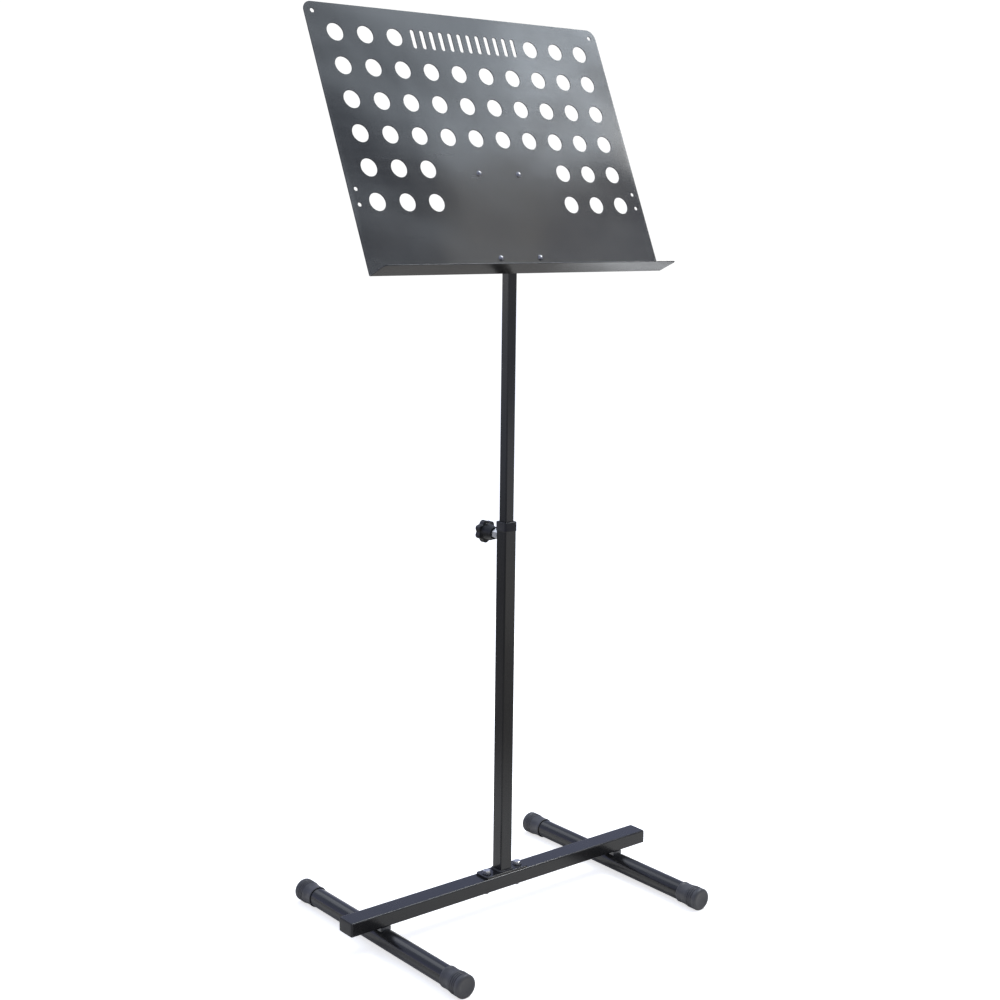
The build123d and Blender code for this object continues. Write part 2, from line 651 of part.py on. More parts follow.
NODES = {
    "crossbar": crossbar(),
    "leg_bolts": leg_bolts(),
    "leg_nuts": leg_nuts(),
    "mast_foot_plate": mast_foot_plate(),
    "mast_weld": mast_weld(),
    "mast_bolts": mast_bolts(),
    "mast_washers": mast_washers(),
    "mast_nuts": mast_nuts(),
    "lower_tube": lower_tube(),
    "guide_bush": guide_bush(),
    "clamp_nut": clamp_nut(),
    "upper_tube": upper_tube(),
    "mast_glide": mast_glide(),
    "mast_top_plug": mast_top_plug(),
    "clamp_pad": clamp_pad(),
    "clamp_stud": clamp_stud(),
    "clamp_knob": clamp_knob(),
    "desk_panel": desk_panel(),
    "desk_bracket": desk_bracket(),
    "desk_screws": desk_screws(),
    "desk_nuts": desk_nuts(),
    "tilt_bolt": tilt_bolt(),
    "tilt_washer": tilt_washer(),
    "tilt_insert": tilt_insert(),
    "tilt_knob": tilt_knob(),
}
for side, side_name in ((-1, "left"), (1, "right")):
    NODES["leg_" + side_name] = leg(side)
    NODES["leg_saddle_" + side_name] = leg_saddle(side)
    NODES["crossbar_plug_" + side_name] = crossbar_plug(side)
    NODES["friction_washer_" + side_name] = friction_washer(side)
    for end, end_name in ((-1, "front"), (1, "rear")):
        NODES["foot_cap_" + end_name + "_" + side_name] = foot_cap(side, end)

os.makedirs("parts", exist_ok=True)
for name, solid in NODES.items():
    export_step(solid, "parts/" + name + ".step")
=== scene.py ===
import bmesh
import bpy
from math import asin, copysign, cos, degrees, pi, radians, sin, tan
from mathutils import Matrix, Vector, noise

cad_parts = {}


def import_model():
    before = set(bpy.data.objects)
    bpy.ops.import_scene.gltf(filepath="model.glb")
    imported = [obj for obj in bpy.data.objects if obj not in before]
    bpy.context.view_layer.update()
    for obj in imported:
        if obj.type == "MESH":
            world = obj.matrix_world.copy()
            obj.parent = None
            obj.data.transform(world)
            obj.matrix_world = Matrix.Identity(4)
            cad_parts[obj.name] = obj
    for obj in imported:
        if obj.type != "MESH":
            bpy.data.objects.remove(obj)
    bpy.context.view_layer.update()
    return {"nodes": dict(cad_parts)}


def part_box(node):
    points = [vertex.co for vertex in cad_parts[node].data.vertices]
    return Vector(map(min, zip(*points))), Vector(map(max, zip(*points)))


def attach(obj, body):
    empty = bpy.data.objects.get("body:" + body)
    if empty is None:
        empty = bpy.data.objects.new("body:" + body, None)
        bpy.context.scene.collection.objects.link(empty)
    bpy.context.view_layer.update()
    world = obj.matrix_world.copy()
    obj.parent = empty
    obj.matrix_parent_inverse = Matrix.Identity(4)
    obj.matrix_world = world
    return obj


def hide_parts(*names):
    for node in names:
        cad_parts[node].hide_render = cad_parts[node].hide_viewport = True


# Music stand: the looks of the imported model. Every length is in metres, in the CAD frame:
# +X is the player's right, +Y points away from the player, +Z is up.

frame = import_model()

MM = 0.001
SIDES = ("left", "right")
ENDS = ("front", "rear")

# Points around a small round thing, and around a knob
AROUND = 48
KNOB_AROUND = 112

# Desk frame: u across, w up the sheet and n out of its front, from the tilt pivot
DESK_TILT = radians(23.8)
DESK_FRONT = 20.0 * MM
SHEET = 1.2 * MM
BRACKET_SHEET = 1.5 * MM
BRACKET_BACK = DESK_FRONT - SHEET - BRACKET_SHEET

# Desk sheet: its outline, its bend, its ledge and its grid of holes
DESK_HALF = 250.0 * MM
DESK_TOP = 338.0 * MM
DESK_CORNER = 14.0 * MM
LEDGE_CORNER = 5.0 * MM
BEND_INSIDE = 1.5 * MM
BEND_START = -32.3 * MM
BEND_LENGTH = 3.3 * MM
BEND_END = BEND_START - BEND_LENGTH
BEND_CUTS = 8
LEDGE_REACH = 34.3 * MM
GRID_PITCH = 46.6 * MM
GRID_MIDDLE = 181.0 * MM
GRID_ROWS = 6
GRID_COLUMNS = 10
FULL_ROWS = (1, 2, 3)
HOLE_RADIUS = 12.3 * MM
SLOTS = 12
SLOT_PITCH = 15.6 * MM
SLOT_WIDTH = 6.0 * MM
SLOT_HEIGHT = 27.0 * MM
SMALL_HOLE = 2.75 * MM
TOP_HOLE = 3.0 * MM
SCREWS = [(side * 34.0 * MM, w * MM) for side in (-1, 1) for w in (-13.0, 107.0)]

# Fasteners
FOOT_BOLTS = (-28.0 * MM, 28.0 * MM)
FOOT_BOLT_HOLE = 3.3 * MM
PIVOT_BORE = 4.06 * MM

# Noise runs mostly between these values
CORE = (0.3, 0.7)
WIDE = (0.25, 0.75)


# -------- places

def corners(node):
    """Lowest and highest corners of a CAD node."""
    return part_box(node)


def middle(node):
    """Middle of a CAD node's box."""
    low, high = corners(node)
    return (low + high) / 2


def half_width(node):
    """Half of a CAD node's size along X."""
    low, high = corners(node)
    return (high.x - low.x) / 2


def desk_matrix():
    """Takes (u, w, n) to the stand's frame."""
    pivot = middle("tilt_bolt")
    pivot.x = 0.0
    across = Vector((1, 0, 0))
    up = Vector((0, sin(DESK_TILT), cos(DESK_TILT)))
    out = Vector((0, -cos(DESK_TILT), sin(DESK_TILT)))
    turn = Matrix((across, up, out)).transposed().to_4x4()
    return Matrix.Translation(pivot) @ turn


DESK = desk_matrix()
IN_PLACE = Matrix.Identity(4)
ALONG_X = Matrix.Rotation(radians(90), 4, "Y")
ALONG_Y = Matrix.Rotation(radians(-90), 4, "X")
CLAMP_HEIGHT = middle("clamp_knob").z
CLAMP_PLACE = Matrix.Translation((0, 0, CLAMP_HEIGHT)) @ ALONG_Y


# -------- node helpers

def add_object(name, data):
    """An object in the scene."""
    obj = bpy.data.objects.new(name, data)
    bpy.context.scene.collection.objects.link(obj)
    return obj


def new_material(name):
    """A material and its node tree."""
    material = bpy.data.materials.new(name)
    material.use_nodes = True
    return material, material.node_tree


def set_inputs(node, **values):
    """Sets some of a node's inputs, by name."""
    for name, value in values.items():
        node.inputs[name.replace("_", " ")].default_value = value
    return node


def add(tree, kind, **values):
    """A node with some of its inputs set."""
    return set_inputs(tree.nodes.new("ShaderNode" + kind), **values)


def link(source, target):
    """Connects an output socket to an input socket."""
    source.id_data.links.new(source, target)


def object_coordinates(tree, stretch=(1, 1, 1)):
    """Object coordinates, stretched so that a texture runs into streaks."""
    coordinates = add(tree, "TexCoord")
    mapping = add(tree, "Mapping", Scale=stretch)
    link(coordinates.outputs["Object"], mapping.inputs["Vector"])
    return mapping.outputs["Vector"]


def noise_field(tree, scale, detail=4.0, roughness=0.55, stretch=(1, 1, 1)):
    """Fractal noise over the object's own coordinates."""
    field = add(tree, "TexNoise", Scale=scale, Detail=detail, Roughness=roughness)
    link(object_coordinates(tree, stretch), field.inputs["Vector"])
    return field.outputs["Fac"]


def span(tree, value, low, high, to_low=0.0, to_high=1.0):
    """Maps a value from one range to another, clamped."""
    node = add(tree, "MapRange", From_Min=low, From_Max=high, To_Min=to_low, To_Max=to_high)
    link(value, node.inputs["Value"])
    return node.outputs["Result"]


def combine(tree, operation, first, second):
    """A math node on two values, each a socket or a number."""
    node = add(tree, "Math")
    node.operation = operation
    for socket, value in zip(node.inputs, (first, second)):
        if isinstance(value, (int, float)):
            socket.default_value = value
        else:
            link(value, socket)
    return node.outputs["Value"]


def measure(tree, operation, first, second=None):
    """A number from a vector socket and, for some operations, a second socket or tuple."""
    node = add(tree, "VectorMath")
    node.operation = operation
    link(first, node.inputs[0])
    if isinstance(second, tuple):
        node.inputs[1].default_value = second
    elif second is not None:
        link(second, node.inputs[1])
    return node.outputs["Value"]


def upright_part(tree, vector):
    """The Z part of a vector."""
    split = add(tree, "SeparateXYZ")
    link(vector, split.inputs["Vector"])
    return split.outputs["Z"]


def blend_colours(tree, factor, first, second):
    """Mixes two colours, each a socket or an RGB tuple, by a socket's value."""
    node = add(tree, "Mix")
    node.data_type = "RGBA"
    link(factor, node.inputs["Factor"])
    for socket, value in ((node.inputs[6], first), (node.inputs[7], second)):
        if isinstance(value, tuple):
            socket.default_value = (*value, 1)
        else:
            link(value, socket)
    return node.outputs[2]


def mottle(tree, field, dark, pale):
    """A base colour that drifts between two tones."""
    return blend_colours(tree, span(tree, field, *CORE), dark, pale)


def tint(tree, colour, mask, amount, tone):
    """Lays a tone over a colour where a mask is high."""
    return blend_colours(tree, combine(tree, "MULTIPLY", mask, amount), colour, tone)


def roughen(tree, rough, mask, amount):
    """Adds roughness where a mask is high."""
    return combine(tree, "ADD", rough, combine(tree, "MULTIPLY", mask, amount))


def colour_ramp(tree, value, stops):
    """Colours along a value: stops are (position, RGB)."""
    node = add(tree, "ValToRGB")
    elements = node.color_ramp.elements
    elements.remove(elements[1])
    for index, (position, colour) in enumerate(stops):
        stop = elements[0] if index == 0 else elements.new(position)
        stop.position = position
        stop.color = (*colour, 1)
    link(value, node.inputs["Fac"])
    return node.outputs["Color"]


def camera_sees(tree, others_see, camera_view, output):
    """Sends one shader to the camera's own rays and another to every other ray."""
    path = add(tree, "LightPath")
    mix = add(tree, "MixShader")
    link(path.outputs["Is Camera Ray"], mix.inputs["Fac"])
    link(others_see, mix.inputs[1])
    link(camera_view, mix.inputs[2])
    link(mix.outputs["Shader"], output.inputs["Surface"])


def surface_normal(tree):
    """The direction a surface faces."""
    return add(tree, "NewGeometry").outputs["Normal"]


def edge_mask(tree, radius):
    """1 on edges and corners, 0 on flat and gently curved surfaces."""
    rounded = add(tree, "Bevel", Radius=radius)
    rounded.samples = 6
    alike = measure(tree, "DOT_PRODUCT", rounded.outputs["Normal"], surface_normal(tree))
    return span(tree, alike, 0.985, 0.90)


def edge_wear_and_highlight(tree, radius, scale, low, high):
    """Edges in patches: where the paint has rubbed thin, and on the tubes also a painted highlight."""
    patches = span(tree, noise_field(tree, scale, 5.0), low, high)
    return combine(tree, "MULTIPLY", edge_mask(tree, radius), patches)


def upward_mask(tree):
    """1 on surfaces that face up, where dust settles."""
    return span(tree, upright_part(tree, surface_normal(tree)), 0.2, 0.9)


def height_mask(tree, low, high):
    """Falls from 1 at the lower height to 0 at the higher one."""
    return span(tree, upright_part(tree, object_coordinates(tree)), low, high, 1.0, 0.0)


def scratch_lines(tree, scale, stretch, width):
    """Thin lines along the stretched direction, broken up by patches."""
    field = noise_field(tree, scale, 2.0, 0.5, stretch)
    distance = combine(tree, "ABSOLUTE", combine(tree, "SUBTRACT", field, 0.5), 0.0)
    lines = span(tree, distance, 0.0, width, 1.0, 0.0)
    patches = span(tree, noise_field(tree, 14.0, 3.0), 0.52, 0.66)
    return combine(tree, "MULTIPLY", lines, patches)


def bump(tree, layers):
    """A normal with stacked bump layers, each (height socket, strength, distance)."""
    previous = None
    for height, strength, distance in layers:
        node = add(tree, "Bump", Strength=strength, Distance=distance)
        link(height, node.inputs["Height"])
        if previous is not None:
            link(previous, node.inputs["Normal"])
        previous = node.outputs["Normal"]
    return previous


def finish(material, colour, rough, layers, metallic=0.0, specular=0.5):
    """Gives a material its colour, roughness, bump and uniform values."""
    tree = material.node_tree
    shader = tree.nodes["Principled BSDF"]
    for name, socket in (("Base Color", colour), ("Roughness", rough), ("Normal", bump(tree, layers))):
        link(socket, shader.inputs[name])
    set_inputs(shader, Metallic=metallic, Specular_IOR_Level=specular)
    return material


# -------- materials

def painted_tube(name, streak_axis):
    """Semi-gloss black stove paint on tube: orange peel, dust, hairline scratches, worn edges that also
    carry a painted highlight.
    """
    material, tree = new_material(name)
    stretch = [1.0, 1.0, 1.0]
    stretch["XYZ".index(streak_axis)] = 0.03
    clouds = noise_field(tree, 11.0, 5.0)
    peel = noise_field(tree, 620.0, 2.0)
    grain = noise_field(tree, 2400.0, 2.0)
    hairlines = scratch_lines(tree, 340.0, tuple(stretch), 0.012)
    edges = edge_wear_and_highlight(tree, 1.1 * MM, 55.0, 0.48, 0.66)
    specks = span(tree, noise_field(tree, 1300.0, 3.0, 0.7), 0.66, 0.74)
    dust = combine(tree, "MULTIPLY", combine(tree, "MULTIPLY", specks, upward_mask(tree)), 0.5)
    colour = mottle(tree, clouds, (0.0085, 0.0085, 0.009), (0.014, 0.0135, 0.013))
    colour = blend_colours(tree, dust, colour, (0.10, 0.095, 0.085))
    colour = tint(tree, colour, hairlines, 0.16, (0.075, 0.073, 0.07))
    # Lightened edges: worn paint, and a painted highlight along the tube edges such as the crossbar's top
    # front edge
    colour = tint(tree, colour, edges, 0.6, (0.16, 0.158, 0.15))
    rough = span(tree, clouds, *WIDE, 0.15, 0.24)
    rough = roughen(tree, rough, hairlines, 0.12)
    rough = roughen(tree, rough, dust, 0.25)
    return finish(material, colour, rough, [(peel, 0.14, 0.25 * MM), (grain, 0.06, 0.1 * MM)])


def painted_desk():
    """Satin black powder coat on sheet: fine texture, faint rolling streaks, gentle sheet waves."""
    material, tree = new_material("desk_paint")
    clouds = noise_field(tree, 7.0, 5.0)
    streaks = noise_field(tree, 90.0, 4.0, 0.6, (0.06, 1, 1))
    waves = noise_field(tree, 5.5, 1.0, 0.4, (0.7, 1, 1))
    dents = noise_field(tree, 22.0, 1.0, 0.4)
    texture = noise_field(tree, 900.0, 3.0)
    specks = span(tree, noise_field(tree, 1500.0, 3.0, 0.7), 0.66, 0.75)
    smudges = span(tree, noise_field(tree, 16.0, 6.0, 0.65, (0.55, 1, 1)), 0.46, 0.64)
    rubbed = scratch_lines(tree, 260.0, (0.05, 1, 1), 0.01)
    edges = edge_wear_and_highlight(tree, 0.6 * MM, 70.0, 0.45, 0.62)
    colour = mottle(tree, clouds, (0.008, 0.008, 0.0085), (0.013, 0.0127, 0.0122))
    colour = tint(tree, colour, specks, 0.25, (0.10, 0.10, 0.095))
    colour = tint(tree, colour, rubbed, 0.12, (0.08, 0.08, 0.078))
    colour = tint(tree, colour, edges, 0.4, (0.12, 0.118, 0.115))
    rough = span(tree, streaks, *WIDE, 0.22, 0.26)
    rough = combine(tree, "ADD", rough, span(tree, clouds, *CORE, -0.02, 0.03))
    rough = roughen(tree, rough, smudges, 0.012)
    layers = [(waves, 0.7, 14.0 * MM), (dents, 0.25, 1.2 * MM)]
    layers += [(streaks, 0.05, 0.3 * MM), (texture, 0.12, 0.18 * MM)]
    return finish(material, colour, rough, layers)


def rubber():
    """Dark grey moulded rubber: fine matt grain, scuffs and floor dust low down."""
    material, tree = new_material("rubber")
    clouds = noise_field(tree, 60.0, 5.0)
    grain = noise_field(tree, 1700.0, 3.0, 0.6)
    pits = noise_field(tree, 420.0, 4.0, 0.6)
    scuffs = span(tree, noise_field(tree, 95.0, 6.0, 0.7), 0.56, 0.70)
    low = height_mask(tree, 2.0 * MM, 22.0 * MM)
    dust = combine(tree, "MULTIPLY", span(tree, pits, 0.42, 0.65), combine(tree, "ADD", low, 0.35))
    colour = mottle(tree, clouds, (0.040, 0.040, 0.044), (0.062, 0.062, 0.064))
    colour = tint(tree, colour, dust, 0.35, (0.085, 0.08, 0.07))
    colour = tint(tree, colour, scuffs, 0.30, (0.07, 0.068, 0.066))
    rough = span(tree, pits, *CORE, 0.36, 0.56)
    layers = [(pits, 0.25, 0.3 * MM), (grain, 0.18, 0.15 * MM)]
    return finish(material, colour, rough, layers, specular=0.45)


def moulded_plastic():
    """Black moulded plastic: spark-eroded grain, slightly shinier on the rubbed edges."""
    material, tree = new_material("black_plastic")
    clouds = noise_field(tree, 90.0, 4.0)
    grain = noise_field(tree, 2200.0, 3.0, 0.6)
    rubbed = edge_mask(tree, 0.9 * MM)
    colour = mottle(tree, clouds, (0.006, 0.006, 0.0065), (0.011, 0.011, 0.0115))
    colour = tint(tree, colour, rubbed, 0.25, (0.05, 0.05, 0.05))
    polish = combine(tree, "MULTIPLY", rubbed, 0.08)
    rough = combine(tree, "SUBTRACT", span(tree, clouds, *CORE, 0.36, 0.48), polish)
    return finish(material, colour, rough, [(grain, 0.22, 0.14 * MM)], specular=0.4)


def zinc():
    """Bright zinc plating with a faint cool bloom, fine turning marks and small stains."""
    material, tree = new_material("zinc")
    bloom = noise_field(tree, 130.0, 5.0)
    marks = noise_field(tree, 1500.0, 2.0, 0.5, (1, 1, 0.15))
    stains = span(tree, noise_field(tree, 260.0, 5.0, 0.7), 0.60, 0.74)
    colour = mottle(tree, bloom, (0.52, 0.53, 0.55), (0.70, 0.70, 0.69))
    colour = tint(tree, colour, stains, 0.5, (0.30, 0.28, 0.25))
    rough = span(tree, bloom, *WIDE, 0.24, 0.42)
    return finish(material, colour, rough, [(marks, 0.10, 0.08 * MM)], metallic=1.0)


def dull_zinc():
    """Darker, duller zinc, for the saddles and washers."""
    material, tree = new_material("zinc_dull")
    bloom = noise_field(tree, 150.0, 5.0)
    stains = span(tree, noise_field(tree, 320.0, 5.0, 0.7), 0.48, 0.66)
    colour = mottle(tree, bloom, (0.13, 0.13, 0.135), (0.22, 0.22, 0.22))
    colour = tint(tree, colour, stains, 0.6, (0.08, 0.075, 0.068))
    rough = span(tree, bloom, *WIDE, 0.34, 0.55)
    return finish(material, colour, rough, [(stains, 0.12, 0.08 * MM)], metallic=0.9)


def black_zinc():
    """Glossy black plated screws, greyer where the driver has rubbed them."""
    material, tree = new_material("black_screw")
    clouds = noise_field(tree, 300.0, 4.0)
    rubbed = span(tree, noise_field(tree, 650.0, 4.0, 0.7), 0.58, 0.70)
    colour = mottle(tree, clouds, (0.20, 0.20, 0.21), (0.32, 0.32, 0.335))
    colour = tint(tree, colour, rubbed, 0.4, (0.42, 0.42, 0.43))
    rough = span(tree, clouds, *CORE, 0.18, 0.30)
    return finish(material, colour, rough, [(clouds, 0.08, 0.08 * MM)], metallic=0.85)


def nylon():
    """Milky nylon with a waxy skin."""
    material, tree = new_material("nylon")
    clouds = noise_field(tree, 150.0, 4.0)
    grain = noise_field(tree, 1800.0, 2.0)
    colour = mottle(tree, clouds, (0.60, 0.57, 0.50), (0.74, 0.72, 0.66))
    rough = span(tree, clouds, *CORE, 0.38, 0.52)
    shader = tree.nodes["Principled BSDF"]
    depth = (1.0 * MM, 0.9 * MM, 0.7 * MM)
    set_inputs(shader, Subsurface_Weight=0.15, Subsurface_Radius=depth, Subsurface_Scale=1.0)
    return finish(material, colour, rough, [(grain, 0.1, 0.1 * MM)])


def brass():
    """Turned brass, dulled in patches."""
    material, tree = new_material("brass")
    clouds = noise_field(tree, 220.0, 4.0)
    grain = noise_field(tree, 1400.0, 2.0)
    colour = mottle(tree, clouds, (0.42, 0.27, 0.10), (0.66, 0.47, 0.20))
    rough = span(tree, clouds, *CORE, 0.22, 0.40)
    return finish(material, colour, rough, [(grain, 0.1, 0.08 * MM)], metallic=1.0)


def weld_metal():
    """The weld bead under the tube's paint, a little rougher and greyer on its ripples."""
    material, tree = new_material("weld_paint")
    clouds = noise_field(tree, 240.0, 5.0)
    ripple = edge_mask(tree, 1.2 * MM)
    colour = mottle(tree, clouds, (0.010, 0.010, 0.0105), (0.018, 0.0175, 0.017))
    colour = tint(tree, colour, ripple, 0.3, (0.07, 0.065, 0.06))
    rough = span(tree, clouds, *CORE, 0.26, 0.42)
    return finish(material, colour, rough, [(clouds, 0.3, 0.3 * MM)])


def painted_light_ground(tree):
    """Painted light on the ground, which lights the stand and shows in its paint: a pool painted pale in
    the middle, dark further out, pale again far off, and a glowing patch.
    """
    reach = measure(tree, "LENGTH", object_coordinates(tree))
    # Painted pool of light: pale near the stand, dark in a ring, pale again far off
    rings = colour_ramp(tree, combine(tree, "MULTIPLY", reach, 0.2), (
        (0.0, (0.95, 0.90, 0.80)), (0.07, (0.95, 0.90, 0.80)), (0.15, (0.36, 0.33, 0.28)),
        (0.5, (0.34, 0.32, 0.28)), (0.9, (0.90, 0.88, 0.84)),
    ))
    ground = add(tree, "BsdfDiffuse")
    link(rings, ground.inputs["Color"])
    # A glowing patch of painted light, reflected by the underside of the ledge
    patch_centre = (1.46, 0.86, 0.0)
    distance = measure(tree, "DISTANCE", object_coordinates(tree), patch_centre)
    patch = add(tree, "Emission", Color=(0.92, 0.96, 1.0, 1))
    link(span(tree, distance, 0.10, 0.24, 3.0, 0.0), patch.inputs["Strength"])
    both = add(tree, "AddShader")
    link(ground.outputs["BSDF"], both.inputs[0])
    link(patch.outputs["Emission"], both.inputs[1])
    return both.outputs["Shader"]


def pale_floor():
    """Plain pale floor to the camera, and the ground with painted light to every other ray."""
    material, tree = new_material("pale_floor")
    clouds = noise_field(tree, 3.0, 3.0)
    colour = blend_colours(tree, clouds, (0.80, 0.795, 0.785), (0.83, 0.825, 0.815))
    shader = tree.nodes["Principled BSDF"]
    link(colour, shader.inputs["Base Color"])
    set_inputs(shader, Roughness=0.9, Specular_IOR_Level=0.1)
    set_inputs(shader, Emission_Color=(1.0, 0.99, 0.97, 1), Emission_Strength=0.68)
    camera_sees(tree, painted_light_ground(tree), shader.outputs["BSDF"], tree.nodes["Material Output"])
    return material


MATERIALS = {
    "tube_upright": painted_tube("tube_paint_upright", "Z"),
    "tube_across": painted_tube("tube_paint_across", "X"),
    "tube_along": painted_tube("tube_paint_along", "Y"),
    "desk_paint": painted_desk(),
    "rubber": rubber(),
    "black_plastic": moulded_plastic(),
    "zinc": zinc(),
    "zinc_dull": dull_zinc(),
    "black_screw": black_zinc(),
    "nylon": nylon(),
    "brass": brass(),
    "weld": weld_metal(),
}


# -------- mesh helpers

def tip(z):
    """A single point on the Z axis, which closes a loft."""
    return [Vector((0, 0, z))]


def polar(radius, angle, z):
    """A point at a radius and an angle about the Z axis."""
    return Vector((radius * cos(angle), radius * sin(angle), z))


def full_turn(count):
    """Even angles around a circle."""
    return [2 * pi * k / count for k in range(count)]


def round_points(radius, z, count=AROUND):
    """Points on a circle at height z."""
    return [polar(radius, a, z) for a in full_turn(count)]


def turned(profile, count=AROUND):
    """Rings from a profile of (radius, height) around the Z axis. Radius 0 closes an end."""
    return [round_points(radius, z, count) if radius else tip(z) for radius, z in profile]


def rounded_rectangle(half_x, half_y, corner, z, steps=6):
    """Points around a rectangle with rounded corners at height z, anticlockwise."""
    points = []
    for quarter, (sign_x, sign_y) in enumerate(((1, 1), (-1, 1), (-1, -1), (1, -1))):
        centre = Vector((sign_x * (half_x - corner), sign_y * (half_y - corner), z))
        for k in range(steps + 1):
            a = radians(90) * (quarter + k / steps)
            points.append(centre + polar(corner, a, 0))
    return points


def square_rings(steps):
    """Rounded squares stacked on the Z axis, each (half size, corner in mm, height)."""
    return [rounded_rectangle(half, half, corner * MM, z) for half, corner, z in steps]


def hexagon_points(across_flats, limit, z, chamfer_sign):
    """Points around a hexagon. Its corners fall away, or rise, beyond radius limit."""
    points = []
    for a in full_turn(AROUND):
        within = (a + radians(30)) % radians(60) - radians(30)
        radius = across_flats / 2 / cos(within)
        drop = max(radius - limit, 0) * tan(radians(30))
        points.append(polar(radius, a, z - chamfer_sign * drop))
    return points


def lobed_points(radius, valley, z):
    """Points around a star knob: rounded lobes with hollows between them."""
    lobes = 7
    sharpness = 0.75
    points = []
    for a in full_turn(KNOB_AROUND):
        rise = (0.5 + 0.5 * cos(lobes * a)) ** sharpness
        points.append(polar(radius - valley * (1 - rise), a, z))
    return points


def thread_rings(radius, depth, pitch, start, end):
    """Rings of a screw thread on the Z axis, from height start to height end."""
    steps = max(int(abs(end - start) / (pitch / 8)), 2)
    rings = []
    for k in range(steps + 1):
        z = start + (end - start) * k / steps
        ring = []
        for j, a in enumerate(full_turn(AROUND)):
            phase = (z / pitch - j / AROUND) % 1
            ring.append(polar(radius - depth * (1 - abs(2 * phase - 1)), a, z))
        rings.append(ring)
    return rings


def loft(bm, rings, matrix, joined=False):
    """Faces between rings of equal count; a single point closes an end, joined makes a loop."""
    made = [[bm.verts.new(matrix @ Vector(p)) for p in ring] for ring in rings]
    pairs = list(zip(made, made[1:]))
    if joined:
        pairs.append((made[-1], made[0]))
    for lower, upper in pairs:
        count = max(len(lower), len(upper))
        for k in range(count):
            after = (k + 1) % count
            if len(lower) == 1:
                bm.faces.new((lower[0], upper[after], upper[k]))
            elif len(upper) == 1:
                bm.faces.new((lower[k], lower[after], upper[0]))
            else:
                bm.faces.new((lower[k], lower[after], upper[after], upper[k]))


def arc(centre, radius, start, end, steps):
    """Profile points on an arc, with angles in degrees from the radial direction."""
    points = []
    for k in range(steps + 1):
        a = radians(start + (end - start) * k / steps)
        points.append((centre[0] + radius * cos(a), centre[1] + radius * sin(a)))
    return points


def move(bm, matrix):
    """Moves a whole mesh."""
    bmesh.ops.transform(bm, matrix=matrix, verts=bm.verts)


def flatten_below(bm, height):
    """Lifts whatever hangs below a height up to it."""
    for vert in bm.verts:
        vert.co.z = max(vert.co.z, height)


def piece(name, bm, material, body, nodes, sharp=32):
    """Finishes a mesh as a piece on a CAD body, standing for CAD nodes."""
    bmesh.ops.recalc_face_normals(bm, faces=bm.faces)
    mesh = bpy.data.meshes.new(name)
    bm.to_mesh(mesh)
    bm.free()
    mesh.shade_smooth()
    if sharp:
        mesh.set_sharp_from_angle(angle=radians(sharp))
    obj = add_object(name, mesh)
    mesh.materials.append(MATERIALS[material])
    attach(obj, body)
    if nodes:
        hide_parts(*nodes)


# -------- sheet helpers

def inset_loop(points, distance):
    """Moves each point of a closed loop to its left, into the material, by a mitre."""
    moved = []
    count = len(points)
    for k in range(count):
        before = (points[k] - points[k - 1]).normalized()
        after = (points[(k + 1) % count] - points[k]).normalized()
        left_before = Vector((-before.y, before.x))
        left_after = Vector((-after.y, after.x))
        share = distance / (1 + left_before.dot(left_after))
        moved.append(points[k] + (left_before + left_after) * share)
    return moved


def plate(bm, loops, thickness, edge, steps=3):
    """A flat plate with its front at z 0 and rounded edges. The first loop is its outline,
    anticlockwise, and the others are holes, clockwise. Its flat faces are marked in a layer."""
    layer = bm.faces.layers.int.new("flat")
    quarter = [radians(90) * k / steps for k in range(steps + 1)]
    profile = [(edge * (1 - sin(a)), -edge * (1 - cos(a))) for a in quarter]
    profile += [(inset, -thickness - z) for inset, z in reversed(profile)]
    front_edges = []
    twins = {}
    for loop in loops:
        rings = []
        for inset, z in profile:
            rings.append([bm.verts.new((p.x, p.y, z)) for p in inset_loop(loop, inset)])
        for upper, lower in zip(rings, rings[1:]):
            for k in range(len(upper)):
                after = (k + 1) % len(upper)
                bm.faces.new((upper[k], lower[k], lower[after], upper[after]))
        for k in range(len(rings[0])):
            front_edges.append(bm.edges.get((rings[0][k - 1], rings[0][k])))
            twins[rings[0][k]] = rings[-1][k]
    filled = bmesh.ops.triangle_fill(bm, use_beauty=True, edges=front_edges, normal=(0, 0, 1))
    front = [item for item in filled["geom"] if isinstance(item, bmesh.types.BMFace)]
    back = [bm.faces.new([twins[v] for v in reversed(face.verts)]) for face in front]
    for face in front + back:
        face[layer] = 1


def round_hole(x, y, radius, count=32):
    """A clockwise loop for a round hole."""
    return [Vector((x + radius * cos(-a), y + radius * sin(-a))) for a in full_turn(count)]


def slot_hole(x, y, width, height, steps=12):
    """A clockwise loop for an upright slot with round ends."""
    radius = width / 2
    reach = height / 2 - radius
    loop = []
    for centre, start in ((y + reach, 180), (y - reach, 0)):
        for k in range(steps + 1):
            a = radians(start - 180 * k / steps)
            loop.append(Vector((x + radius * cos(a), centre + radius * sin(a))))
    return loop


def mark_sharp(bm, limit=8):
    """Keeps the flat faces flat where they meet a rounded edge."""
    layer = bm.faces.layers.int["flat"]
    for edge in bm.edges:
        if len(edge.link_faces) == 2:
            first, second = edge.link_faces
            angle = edge.calc_face_angle(0)
            if first[layer] != second[layer] and angle > radians(limit):
                edge.smooth = False


# -------- fastener helpers

def hex_head_rings(across_flats, bottom, top):
    """Rings of a hexagon head, chamfered at the top, from its seat to its middle."""
    limit = across_flats / 2 * 0.96
    inner = limit - 0.5 * MM
    sunk = top - 0.18 * MM
    return [
        round_points(limit, bottom),
        hexagon_points(across_flats, limit + 0.2 * MM, bottom + 0.1 * MM, -1),
        hexagon_points(across_flats, limit, top, 1),
        *turned([(limit, top), (inner, top - 0.02 * MM), (inner - 0.5 * MM, sunk), (0, sunk)]),
    ]


